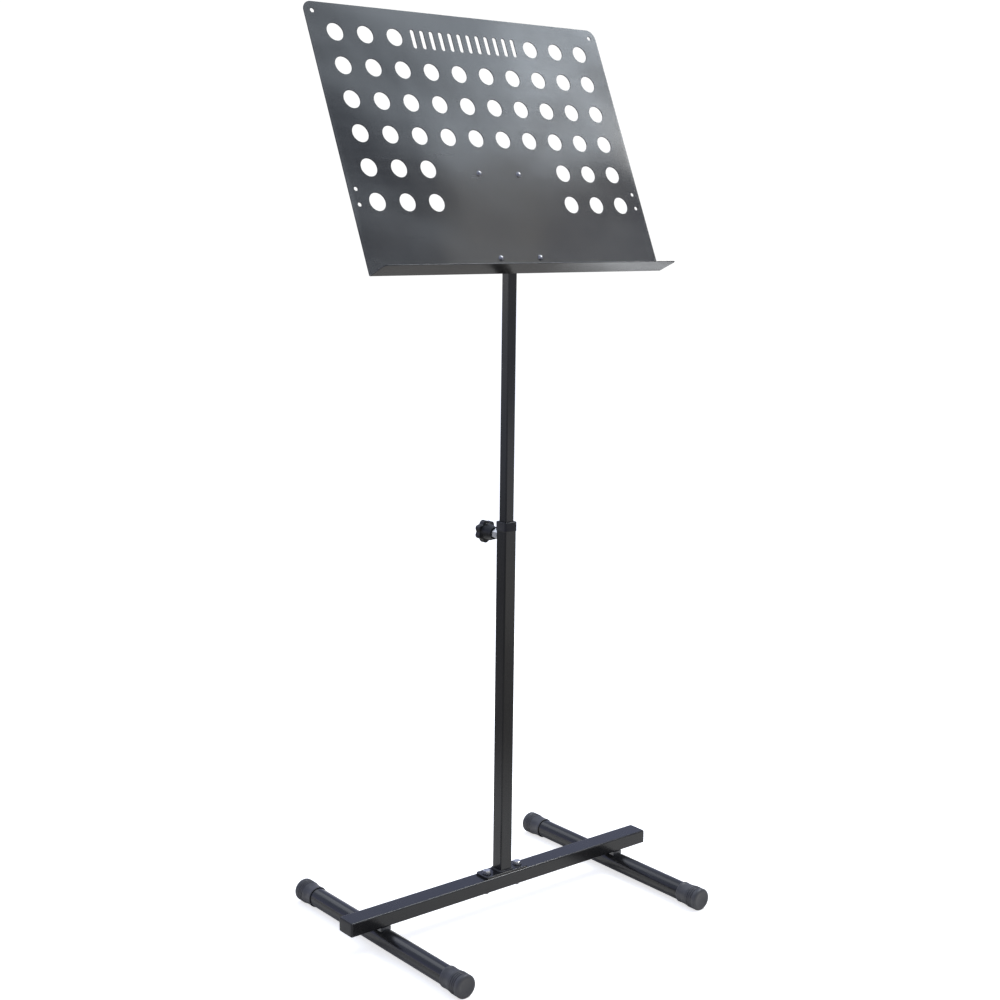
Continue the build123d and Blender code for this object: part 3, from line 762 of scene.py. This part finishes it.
def hex_nut(bm, across_flats, bore, bottom, top, place):
    """A nut chamfered on both faces, with a countersunk bore."""
    limit = across_flats / 2 * 0.97
    sink = 0.4 * MM
    rings = turned([(bore, bottom + sink), (bore + sink, bottom), (limit, bottom)])
    rings += [hexagon_points(across_flats, limit, bottom, -1), hexagon_points(across_flats, limit, top, 1)]
    rings += turned([(limit, top), (bore + sink, top), (bore, top - sink)])
    loft(bm, rings, place, True)


def washer(bm, outer, inner, bottom, top, place):
    """A punched washer with softened rims."""
    soft = min(0.25 * MM, (top - bottom) / 3)
    profile = [
        (inner, bottom + soft), (inner + soft, bottom), (outer - soft, bottom), (outer, bottom + soft),
        (outer, top - soft), (outer - soft, top), (inner + soft, top), (inner, top - soft),
    ]
    loft(bm, turned(profile), place, True)


def weld_bead(bm, path, radius, seed):
    """A rippled bead along a closed path."""
    ripple = 6.0
    swing = 0.10
    lean = 0.25 * MM
    sides = 12
    up = Vector((0, 0, 1))
    rings = []
    count = len(path)
    for k in range(count):
        along = (path[(k + 1) % count] - path[k - 1]).normalized()
        across = along.cross(up)
        swell = 1 + swing * sin(2 * pi * k / ripple)
        swell += swing * noise.noise(path[k] * 300 + Vector((seed, 0, 0)))
        ring = []
        for a in full_turn(sides):
            offset = across * cos(a) + up * sin(a)
            ring.append(path[k] + offset * radius * swell + along * lean * cos(a))
        rings.append(ring)
    loft(bm, rings, IN_PLACE, True)


def even_path(points, step=0.3 * MM):
    """Points at an even step along a closed loop."""
    path = []
    carried = 0.0
    for first, second in zip(points, points[1:] + points[:1]):
        length = (second - first).length
        while carried < length:
            path.append(first.lerp(second, carried / length))
            carried += step
        carried -= length
    return path


# -------- base

def foot_cap(side, end):
    """Rubber cap: lip, neck, flare, raised rings and a rounded end, worn flat on the floor."""
    node = "foot_cap_" + end + "_" + side
    leg = "leg_" + side
    low, high = corners(node)
    length = high.y - low.y
    outer = half_width(node)
    bore = half_width(leg)
    bore_end = length - 5.0 * MM
    neck = outer - 1.1 * MM
    waist = neck - 0.25 * MM
    lip = 0.6 * MM
    ring = 1.15 * MM
    rounding = 3.4 * MM
    dished = length - 0.35 * MM
    profile = [(0, bore_end), (bore, bore_end), (bore, lip)]
    profile += arc((neck - lip, lip), lip, -90, 0, 4)
    profile += [(neck, 3.2 * MM), (waist, 3.6 * MM), (waist, 11.0 * MM)]
    profile += [(neck - 0.1 * MM, 13.0 * MM), (outer - 0.7 * MM, 17.6 * MM), (outer - 0.5 * MM, 19.0 * MM)]
    for start in (19.6 * MM, 23.2 * MM, 26.8 * MM):
        profile += arc((outer - ring, start + 1.8 * MM), ring, -80, 80, 10)
    profile += [(outer - 0.6 * MM, 30.6 * MM), (outer - 0.15 * MM, 31.4 * MM)]
    profile += arc((outer - rounding, length - rounding), rounding, 0, 90, 8)
    profile += [(outer - 5.2 * MM, length), (outer - 6.0 * MM, dished), (0, dished)]
    rear = end == "rear"
    mouth = low.y if rear else high.y
    turn = IN_PLACE if rear else Matrix.Rotation(pi, 4, "Z")
    place = Matrix.Translation((middle(node).x, mouth, middle(leg).z)) @ turn @ ALONG_Y
    bm = bmesh.new()
    loft(bm, turned(profile, 96), place)
    flatten_below(bm, low.z)
    piece("rubber_cap_" + end + "_" + side, bm, "rubber", "base", [node], 40)


def crossbar_plug(side):
    """Moulded end plug with a softly rounded flange."""
    node = "crossbar_plug_" + side
    right = side == "right"
    bar_low, bar_high = corners("crossbar")
    low, high = corners(node)
    half_z = (bar_high.z - bar_low.z) / 2
    half_y = (bar_high.y - bar_low.y) / 2
    flange = high.x - bar_high.x if right else bar_low.x - low.x
    depth = 14.0 * MM
    wall = 1.6 * MM
    rings = [tip(flange)]
    # How far the flange steps in and down at each ring, in mm
    steps = ((6.0, 0.0), (1.9, 0.05), (1.1, 0.2), (0.55, 0.5), (0.18, 0.95), (0.0, 1.5), (0.0, 2.0))
    for inset, drop in steps:
        corner = max(2.0 - inset * 0.6, 0.6) * MM
        z = flange - drop * MM
        rings.append(rounded_rectangle(half_z - inset * MM, half_y - inset * MM, corner, z))
    for z in (0.0, -depth):
        rings.append(rounded_rectangle(half_z - wall, half_y - wall, 0.6 * MM, z))
    rings.append(tip(-depth))
    bar = middle("crossbar")
    direction = ALONG_X if right else Matrix.Rotation(radians(-90), 4, "Y")
    start = bar_high.x if right else bar_low.x
    bm = bmesh.new()
    loft(bm, rings, Matrix.Translation((start, bar.y, bar.z)) @ direction)
    piece("bar_end_" + side, bm, "black_plastic", "base", [node], 50)


def foot_plate():
    """Plate under the mast, with rounded edges and its two bolt holes."""
    low, high = corners("mast_foot_plate")
    centre = middle("mast_foot_plate")
    corner = 4.0 * MM
    outline = rounded_rectangle((high.x - low.x) / 2, (high.y - low.y) / 2, corner, 0, 8)
    loops = [[p.to_2d() for p in outline]]
    loops += [round_hole(x, 0, FOOT_BOLT_HOLE) for x in FOOT_BOLTS]
    bm = bmesh.new()
    plate(bm, loops, high.z - low.z, 0.5 * MM)
    mark_sharp(bm)
    move(bm, Matrix.Translation((centre.x, centre.y, high.z)))
    piece("mast_plate", bm, "tube_across", "base", ["mast_foot_plate"], 0)


def mast_weld():
    """Fillet weld around the foot of the lower tube."""
    foot = corners("lower_tube")[0].z
    half = half_width("lower_tube") + 0.3 * MM
    outline = rounded_rectangle(half, half, 2.4 * MM, foot + 0.2 * MM)
    bm = bmesh.new()
    weld_bead(bm, even_path(outline), 2.3 * MM, 3.0)
    flatten_below(bm, foot - 1.0 * MM)
    piece("foot_weld", bm, "weld", "base", ["mast_weld"], 60)


def mast_fasteners():
    """Bolts, washers and nuts that hold the mast to the crossbar."""
    low, high = corners("mast_bolts")
    washer_low, washer_high = corners("mast_washers")
    nut_low, nut_high = corners("mast_nuts")
    radius = 3.0 * MM
    flats = 10.0 * MM
    bolts, washers, nuts = bmesh.new(), bmesh.new(), bmesh.new()
    for index, x in enumerate(FOOT_BOLTS):
        place = Matrix.Translation((x, 0, 0)) @ Matrix.Rotation(radians(17 + 41 * index), 4, "Z")
        shank = turned([(0, low.z), (2.2 * MM, low.z)])
        shank += thread_rings(radius, 0.45 * MM, 1.0 * MM, low.z + 0.6 * MM, nut_high.z)
        shank += turned([(radius, nut_high.z + 0.5 * MM), (radius, washer_high.z)])
        loft(bolts, shank + hex_head_rings(flats, washer_high.z, high.z), place)
        washer(washers, 6.5 * MM, radius, washer_low.z, washer_high.z, place)
        hex_nut(nuts, flats, radius, nut_low.z, nut_high.z, place)
    piece("mast_bolt_pair", bolts, "zinc", "base", ["mast_bolts"], 25)
    piece("mast_washer_pair", washers, "zinc_dull", "base", ["mast_washers"], 25)
    piece("mast_nut_pair", nuts, "zinc", "base", ["mast_nuts"], 25)


# -------- mast

def guide_bush():
    """Bush in the mouth of the lower tube: a skirt outside it and a sleeve inside it."""
    low, high = corners("guide_bush")
    mouth = corners("lower_tube")[1].z
    outer = half_width("guide_bush")
    tube = half_width("lower_tube")
    bore = half_width("upper_tube") + 0.1 * MM
    sleeve = tube - 1.5 * MM
    waist = outer - 0.12 * MM
    skirt = mouth - 12.0 * MM
    top = high.z
    steps = [
        (tube, 2.2, skirt + 0.3 * MM), (tube + 0.2 * MM, 2.4, skirt), (outer - 0.3 * MM, 2.8, skirt),
        (outer, 3.1, skirt + 0.35 * MM), (outer, 3.1, skirt + 1.6 * MM), (waist, 3.0, skirt + 1.9 * MM),
        (waist, 3.0, top - 1.1 * MM), (outer - 0.3 * MM, 2.9, top - 0.5 * MM),
        (outer - 0.75 * MM, 2.6, top - 0.1 * MM), (outer - 1.2 * MM, 2.4, top),
        (bore + 0.5 * MM, 2.3, top), (bore + 0.15 * MM, 2.1, top - 0.2 * MM), (bore, 2.1, top - 0.6 * MM),
        (bore, 2.1, low.z), (sleeve, 0.9, low.z), (sleeve, 0.9, mouth), (tube, 2.2, mouth),
    ]
    bm = bmesh.new()
    loft(bm, square_rings(steps), IN_PLACE, True)
    piece("bush", bm, "black_plastic", "base", ["guide_bush"], 40)


def top_plug():
    """Cap in the top of the upper tube."""
    low, high = corners("mast_top_plug")
    tube_top = corners("upper_tube")[1].z
    half = half_width("upper_tube")
    inside = half - 1.2 * MM
    top = high.z
    steps = [
        (inside, 0.8, low.z), (inside, 0.8, tube_top), (half, 2.0, tube_top),
        (half, 2.0, top - 0.7 * MM), (half - 0.25 * MM, 1.9, top - 0.25 * MM), (half - 0.8 * MM, 1.6, top),
    ]
    bm = bmesh.new()
    loft(bm, [tip(low.z)] + square_rings(steps) + [tip(top)], IN_PLACE)
    piece("mast_cap", bm, "black_plastic", "mast", ["mast_top_plug"], 40)


def clamp_nut():
    """Long welded nut with its bead on the tube."""
    low, high = corners("clamp_nut")
    bm = bmesh.new()
    hex_nut(bm, 13.0 * MM, 4.06 * MM, low.y, high.y, CLAMP_PLACE)
    piece("clamp_boss", bm, "zinc", "base", ["clamp_nut"], 25)
    bead = bmesh.new()
    weld_bead(bead, even_path(round_points(7.1 * MM, 0)), 1.5 * MM, 9.0)
    move(bead, Matrix.Translation((0, low.y + 0.2 * MM, CLAMP_HEIGHT)) @ ALONG_Y)
    piece("clamp_boss_weld", bead, "weld", "base", [], 60)


def star_knob(name, node, body, hubs, radius, bore, heights, place):
    """Star knob: bored hub, filleted into a lobed head with rounded rims and a capped face."""
    start, head, end, bore_end = heights
    neck, hub = hubs
    valley = radius * 0.17
    front_rim = 1.3 * MM
    rim = 1.9 * MM
    disc = radius * 0.52
    profile = [(0, bore_end), (bore, bore_end), (bore, start + 0.4 * MM), (bore + 0.4 * MM, start)]
    profile += [(neck - 0.6 * MM, start), (neck - 0.15 * MM, start + 0.2 * MM), (neck, start + 0.7 * MM)]
    profile += [(hub, head - 1.2 * MM), (hub + 0.15 * MM, head - 0.4 * MM), (hub + 0.5 * MM, head)]
    rings = turned(profile, KNOB_AROUND)
    quarter = [radians(15 * k) for k in range(7)]
    for a in quarter:
        here = radius - front_rim * (1 - sin(a))
        rings.append(lobed_points(here, valley, head + front_rim * (1 - cos(a))))
    for a in quarter:
        here = radius - rim * (1 - cos(a))
        rings.append(lobed_points(here, valley, end - rim * (1 - sin(a))))
    rings.append(lobed_points(radius * 0.72, valley * 0.4, end - 0.05 * MM))
    face = [(disc + 0.3 * MM, end - 0.1 * MM), (disc, end - 0.6 * MM), (disc - 0.3 * MM, end - 0.5 * MM)]
    face += [(disc * 0.6, end - 0.15 * MM), (0, end - 0.05 * MM)]
    bm = bmesh.new()
    loft(bm, rings + turned(face, KNOB_AROUND), place)
    piece(name, bm, "black_plastic", body, [node], 40)


def clamp_knob():
    """Knob of the height clamp."""
    low, high = corners("clamp_knob")
    bore_end = corners("clamp_stud")[1].y
    heights = (low.y, low.y + 15.9 * MM, high.y, bore_end)
    hubs = (8.8 * MM, 11.5 * MM)
    star_knob("clamp_star", "clamp_knob", "clamp_screw", hubs, 16.2 * MM, 4.0 * MM, heights, CLAMP_PLACE)


# -------- desk

def desk_outline():
    """Outline of the flat blank, with the ledge unfolded below the bend."""
    bottom = BEND_END - LEDGE_REACH
    steps = 12
    loop = []
    for x, y, radius, start in (
        (DESK_HALF, DESK_TOP, DESK_CORNER, 0), (-DESK_HALF, DESK_TOP, DESK_CORNER, 90),
        (-DESK_HALF, bottom, LEDGE_CORNER, 180), (DESK_HALF, bottom, LEDGE_CORNER, 270),
    ):
        centre = Vector((x - copysign(radius, x), y - copysign(radius, y)))
        for k in range(steps + 1):
            a = radians(start + 90 * k / steps)
            loop.append(centre + Vector((cos(a), sin(a))) * radius)
    return loop


def desk_holes():
    """Round holes, slots and small holes of the desk."""
    loops = []
    for row in range(GRID_ROWS):
        w = GRID_MIDDLE + (2.5 - row) * GRID_PITCH
        for column in range(GRID_COLUMNS):
            if row in FULL_ROWS or column < 3 or column > 6:
                loops.append(round_hole((column - 4.5) * GRID_PITCH, w, HOLE_RADIUS, 72))
    for index in range(SLOTS):
        u = (index - 5.5) * SLOT_PITCH
        loops.append(slot_hole(u, GRID_MIDDLE + 2.5 * GRID_PITCH, SLOT_WIDTH, SLOT_HEIGHT))
    loops += [round_hole(u, w, SMALL_HOLE) for u, w in SCREWS]
    for side in (-1, 1):
        loops.append(round_hole(side * 237.0 * MM, 325.0 * MM, TOP_HOLE))
        for w in (60.5, 81.5):
            loops.append(round_hole(side * 238.0 * MM, w * MM, SMALL_HOLE))
    return loops


def fold(point):
    """Takes a point of the flat blank to (u, w, n): up the sheet, round the bend or on the ledge."""
    u, s, z = point
    if s >= BEND_START:
        return Vector((u, s, DESK_FRONT + z))
    if s > BEND_END:
        a = (BEND_START - s) / BEND_LENGTH * pi / 2
        radius = BEND_INSIDE - z
        return Vector((u, BEND_START - radius * sin(a), DESK_FRONT + BEND_INSIDE - radius * cos(a)))
    reach = BEND_END - s
    return Vector((u, BEND_START - BEND_INSIDE + z, DESK_FRONT + BEND_INSIDE + reach))


def desk_panel():
    """Perforated sheet folded forward into the ledge."""
    bm = bmesh.new()
    plate(bm, [desk_outline()] + desk_holes(), SHEET, 0.35 * MM)
    for k in range(BEND_CUTS + 1):
        line = BEND_START - BEND_LENGTH * k / BEND_CUTS
        whole = list(bm.verts) + list(bm.edges) + list(bm.faces)
        bmesh.ops.bisect_plane(bm, geom=whole, dist=1e-7, plane_co=(0, line, 0), plane_no=(0, 1, 0))
    for vert in bm.verts:
        vert.co = DESK @ fold(vert.co)
    mark_sharp(bm, 12)
    piece("desk_sheet", bm, "desk_paint", "desk", ["desk_panel"], 0)


def ear_outline():
    """Outline of a bracket ear in (-n, w), anticlockwise: straight root, round end."""
    root = BRACKET_BACK + 0.4 * MM
    radius = 13.0 * MM
    steps = 36
    loop = [Vector((root, -27.0 * MM)), Vector((root, 34.0 * MM))]
    for k in range(steps + 1):
        a = radians(92 + 176 * k / steps)
        loop.append(Vector((radius * cos(a), radius * sin(a))))
    return [Vector((-p.x, p.y)) for p in reversed(loop)]


def bracket():
    """Plate on the back of the desk with two ears around the mast."""
    outline = rounded_rectangle(48.0 * MM, 74.0 * MM, 8.0 * MM, 0, 8)
    centre = Vector((0, 47.0 * MM))
    loops = [[p.to_2d() + centre for p in outline]]
    loops += [round_hole(u, w, SMALL_HOLE) for u, w in SCREWS]
    bm = bmesh.new()
    plate(bm, loops, BRACKET_SHEET, 0.4 * MM)
    mark_sharp(bm)
    move(bm, DESK @ Matrix.Translation((0, 0, BRACKET_BACK + BRACKET_SHEET)))
    ear_turn = Matrix(((0, 0, 1, 0), (0, 1, 0, 0), (-1, 0, 0, 0), (0, 0, 0, 1)))
    for face in (10.8 * MM, -8.8 * MM):
        ear = bmesh.new()
        plate(ear, [ear_outline(), round_hole(0, 0, PIVOT_BORE)], 2.0 * MM, 0.4 * MM)
        mark_sharp(ear)
        move(ear, DESK @ Matrix.Translation((face, 0, 0)) @ ear_turn)
        mesh = bpy.data.meshes.new("ear")
        ear.to_mesh(mesh)
        ear.free()
        bm.from_mesh(mesh)
        bpy.data.meshes.remove(mesh)
    piece("bracket", bm, "desk_paint", "desk", ["desk_bracket"], 0)


def dome_rings(radius, height, seat):
    """Rings of a domed screw head above its seat."""
    dome = (radius ** 2 + height ** 2) / (2 * height)
    reach = degrees(asin(radius / dome))
    centre = seat + height - dome
    steps = 10
    profile = []
    for k in range(1, steps):
        a = radians(reach * (1 - k / steps))
        profile.append((dome * sin(a), centre + dome * cos(a)))
    return turned(profile + [(0, seat + height)])


def desk_screws():
    """Dome-headed screws through the desk and the bracket, and their nuts."""
    screws, nuts = bmesh.new(), bmesh.new()
    nut_bottom = BRACKET_BACK - 4.0 * MM
    point = nut_bottom - 1.0 * MM
    radius = 2.5 * MM
    head = 4.3 * MM
    for index, (u, w) in enumerate(SCREWS):
        turn = Matrix.Rotation(radians(23 * index), 4, "Z")
        place = DESK @ Matrix.Translation((u, w, 0)) @ turn
        rings = turned([(0, point), (1.9 * MM, point)])
        rings += thread_rings(radius, 0.35 * MM, 0.8 * MM, nut_bottom - 0.6 * MM, BRACKET_BACK)
        seat = [(radius, DESK_FRONT), (head - 0.3 * MM, DESK_FRONT), (head, DESK_FRONT + 0.15 * MM)]
        rings += turned(seat) + dome_rings(head, 2.6 * MM, DESK_FRONT)
        loft(screws, rings, place)
        hex_nut(nuts, 8.0 * MM, radius, nut_bottom, BRACKET_BACK, place)
    piece("desk_screw_set", screws, "black_screw", "desk", ["desk_screws"], 35)
    piece("desk_nut_set", nuts, "zinc", "desk", ["desk_nuts"], 25)


def tilt_lock():
    """Carriage bolt, washer and knob on the tilt axis."""
    low, high = corners("tilt_bolt")
    washer_low, washer_high = corners("tilt_washer")
    knob_low, knob_high = corners("tilt_knob")
    place = DESK @ ALONG_X
    radius = 4.0 * MM
    seat = low.x + 4.0 * MM
    profile = [(0, low.x)]
    for angle in range(12, 91, 13):
        a = radians(angle)
        profile.append((9.0 * MM * sin(a), seat - 0.6 * MM - 3.4 * MM * cos(a)))
    profile += [(8.7 * MM, seat), (radius, seat), (radius, knob_low.x)]
    rings = turned(profile)
    rings += thread_rings(radius, 0.6 * MM, 1.25 * MM, knob_low.x, high.x - 0.8 * MM)
    rings += turned([(3.2 * MM, high.x), (0, high.x)])
    bm = bmesh.new()
    loft(bm, rings, place)
    piece("carriage_bolt", bm, "zinc", "desk", ["tilt_bolt"], 30)
    ring = bmesh.new()
    washer(ring, 8.0 * MM, PIVOT_BORE, washer_low.x, washer_high.x, place)
    piece("tilt_ring", ring, "zinc", "tilt_spacer", ["tilt_washer"], 25)
    heights = (knob_low.x, knob_low.x + 7.5 * MM, knob_high.x, knob_low.x + 15.5 * MM)
    hubs = (7.5 * MM, 7.5 * MM)
    star_knob("tilt_star", "tilt_knob", "tilt_lock", hubs, 14.0 * MM, 5.5 * MM, heights, place)


# -------- carried-over CAD nodes

CARRIED = {
    "tube_along": ("leg_left", "leg_right"),
    "tube_across": ("crossbar",),
    "tube_upright": ("lower_tube", "upper_tube"),
    "zinc_dull": ("leg_saddle_left", "leg_saddle_right"),
    "zinc": ("leg_bolts", "leg_nuts", "clamp_stud"),
    "brass": ("clamp_pad", "tilt_insert"),
    "nylon": ("mast_glide", "friction_washer_left", "friction_washer_right"),
}


def dress_nodes():
    """Gives each carried-over CAD node its finished material."""
    for material, names in CARRIED.items():
        for name in names:
            for slot in frame["nodes"][name].material_slots:
                slot.material = MATERIALS[material]


# -------- studio

def camera():
    """Camera at the photograph's viewing angle."""
    yaw, pitch, roll = 0.687, 0.178, -0.012
    place = (-1.3857, -1.6747, 0.9838)
    forward = Vector((sin(yaw) * cos(pitch), cos(yaw) * cos(pitch), -sin(pitch)))
    right = Vector((cos(yaw), -sin(yaw), 0))
    down = forward.cross(right)
    rolled_right = right * cos(roll) + down * sin(roll)
    rolled_down = down * cos(roll) - right * sin(roll)
    data = bpy.data.cameras.new("camera")
    data.lens = 57.73
    data.sensor_width = 36.0
    obj = add_object("camera", data)
    turn = Matrix((rolled_right, -rolled_down, -forward)).transposed().to_4x4()
    obj.matrix_world = Matrix.Translation(place) @ turn
    bpy.context.scene.camera = obj


def softbox(name, aim, azimuth, elevation, distance, size, radiance, colour):
    """A rectangular soft light at a direction and distance from the point it faces."""
    data = bpy.data.lights.new(name, "AREA")
    data.shape = "RECTANGLE"
    data.size, data.size_y = size
    data.energy = radiance * pi * size[0] * size[1]
    data.color = colour
    a, e = radians(azimuth), radians(elevation)
    direction = Vector((cos(e) * cos(a), cos(e) * sin(a), sin(e)))
    obj = add_object(name, data)
    turn = direction.to_track_quat("Z", "Y").to_matrix().to_4x4()
    obj.matrix_world = Matrix.Translation(aim + direction * distance) @ turn
    obj.visible_camera = False


def lights():
    """Soft panels. The key, window, apron, warm apron and accent are what the desk reflects, the
    strip is what the crossbar's front edge reflects, and the back and low panels lift the rest."""
    desk = DESK @ Vector((0, 150 * MM, DESK_FRONT))
    bar = middle("crossbar")
    base = Vector((0, 0, 0.25))
    softbox("key", desk, -15, 56, 2.6, (2.0, 1.7), 3.9, (0.82, 0.915, 1.0))
    softbox("window", desk, -28.5, 37.4, 2.6, (0.44, 0.22), 10.5, (0.84, 0.92, 1.0))
    softbox("apron", desk, -55, 22, 2.6, (1.9, 0.9), 0.70, (0.74, 0.80, 1.0))
    softbox("warm_apron", desk, -41.5, 31, 2.5, (0.24, 0.40), 3.0, (1.0, 0.91, 0.70))
    softbox("accent", desk, -1, 55, 2.6, (0.50, 0.32), 34.0, (1.0, 0.99, 0.97))
    softbox("strip", bar, 0, 54, 2.2, (0.95, 0.20), 16.0, (1.0, 0.98, 0.94))
    softbox("back", desk, 95, 30, 2.6, (1.6, 1.2), 1.1, (0.96, 0.98, 1.0))
    softbox("low", base, -51, 2, 1.3, (0.8, 0.5), 0.55, (1.0, 0.97, 0.92))


def world():
    """Soft surroundings: warm low down, cool above, and plain white where the camera sees them."""
    scene_world = bpy.data.worlds.new("studio")
    bpy.context.scene.world = scene_world
    scene_world.use_nodes = True
    tree = scene_world.node_tree
    tree.nodes.clear()
    direction = add(tree, "TexCoord").outputs["Generated"]
    sky = colour_ramp(tree, upright_part(tree, direction), (
        (0.0, (0.95, 0.94, 0.92)), (0.06, (0.60, 0.61, 0.66)), (0.16, (0.34, 0.36, 0.58)),
        (0.5, (0.30, 0.34, 0.47)), (1.0, (0.50, 0.55, 0.68)),
    ))
    bright_side = (-0.63, 0.77, 0.0)
    sway = span(tree, measure(tree, "DOT_PRODUCT", direction, bright_side), -0.9, 0.9, 0.75, 1.7)
    surroundings = add(tree, "Background")
    link(sky, surroundings.inputs["Color"])
    link(sway, surroundings.inputs["Strength"])
    white = add(tree, "Background", Color=(1, 1, 1, 1), Strength=1.05)
    output = add(tree, "OutputWorld")
    camera_sees(tree, surroundings.outputs["Background"], white.outputs["Background"], output)


def floor():
    """The floor's mesh, just under the rubber caps."""
    bm = bmesh.new()
    bmesh.ops.create_grid(bm, x_segments=8, y_segments=8, size=14.0)
    mesh = bpy.data.meshes.new("studio_floor")
    bm.to_mesh(mesh)
    bm.free()
    mesh.materials.append(pale_floor())
    obj = add_object("studio_floor", mesh)
    obj.location.z = -0.2 * MM


# -------- assembly

for side in SIDES:
    crossbar_plug(side)
    for end in ENDS:
        foot_cap(side, end)
foot_plate()
mast_weld()
mast_fasteners()
guide_bush()
top_plug()
clamp_nut()
clamp_knob()
desk_panel()
bracket()
desk_screws()
tilt_lock()
dress_nodes()
floor()
lights()
world()
camera()
bpy.context.scene.view_settings.view_transform = "Standard"
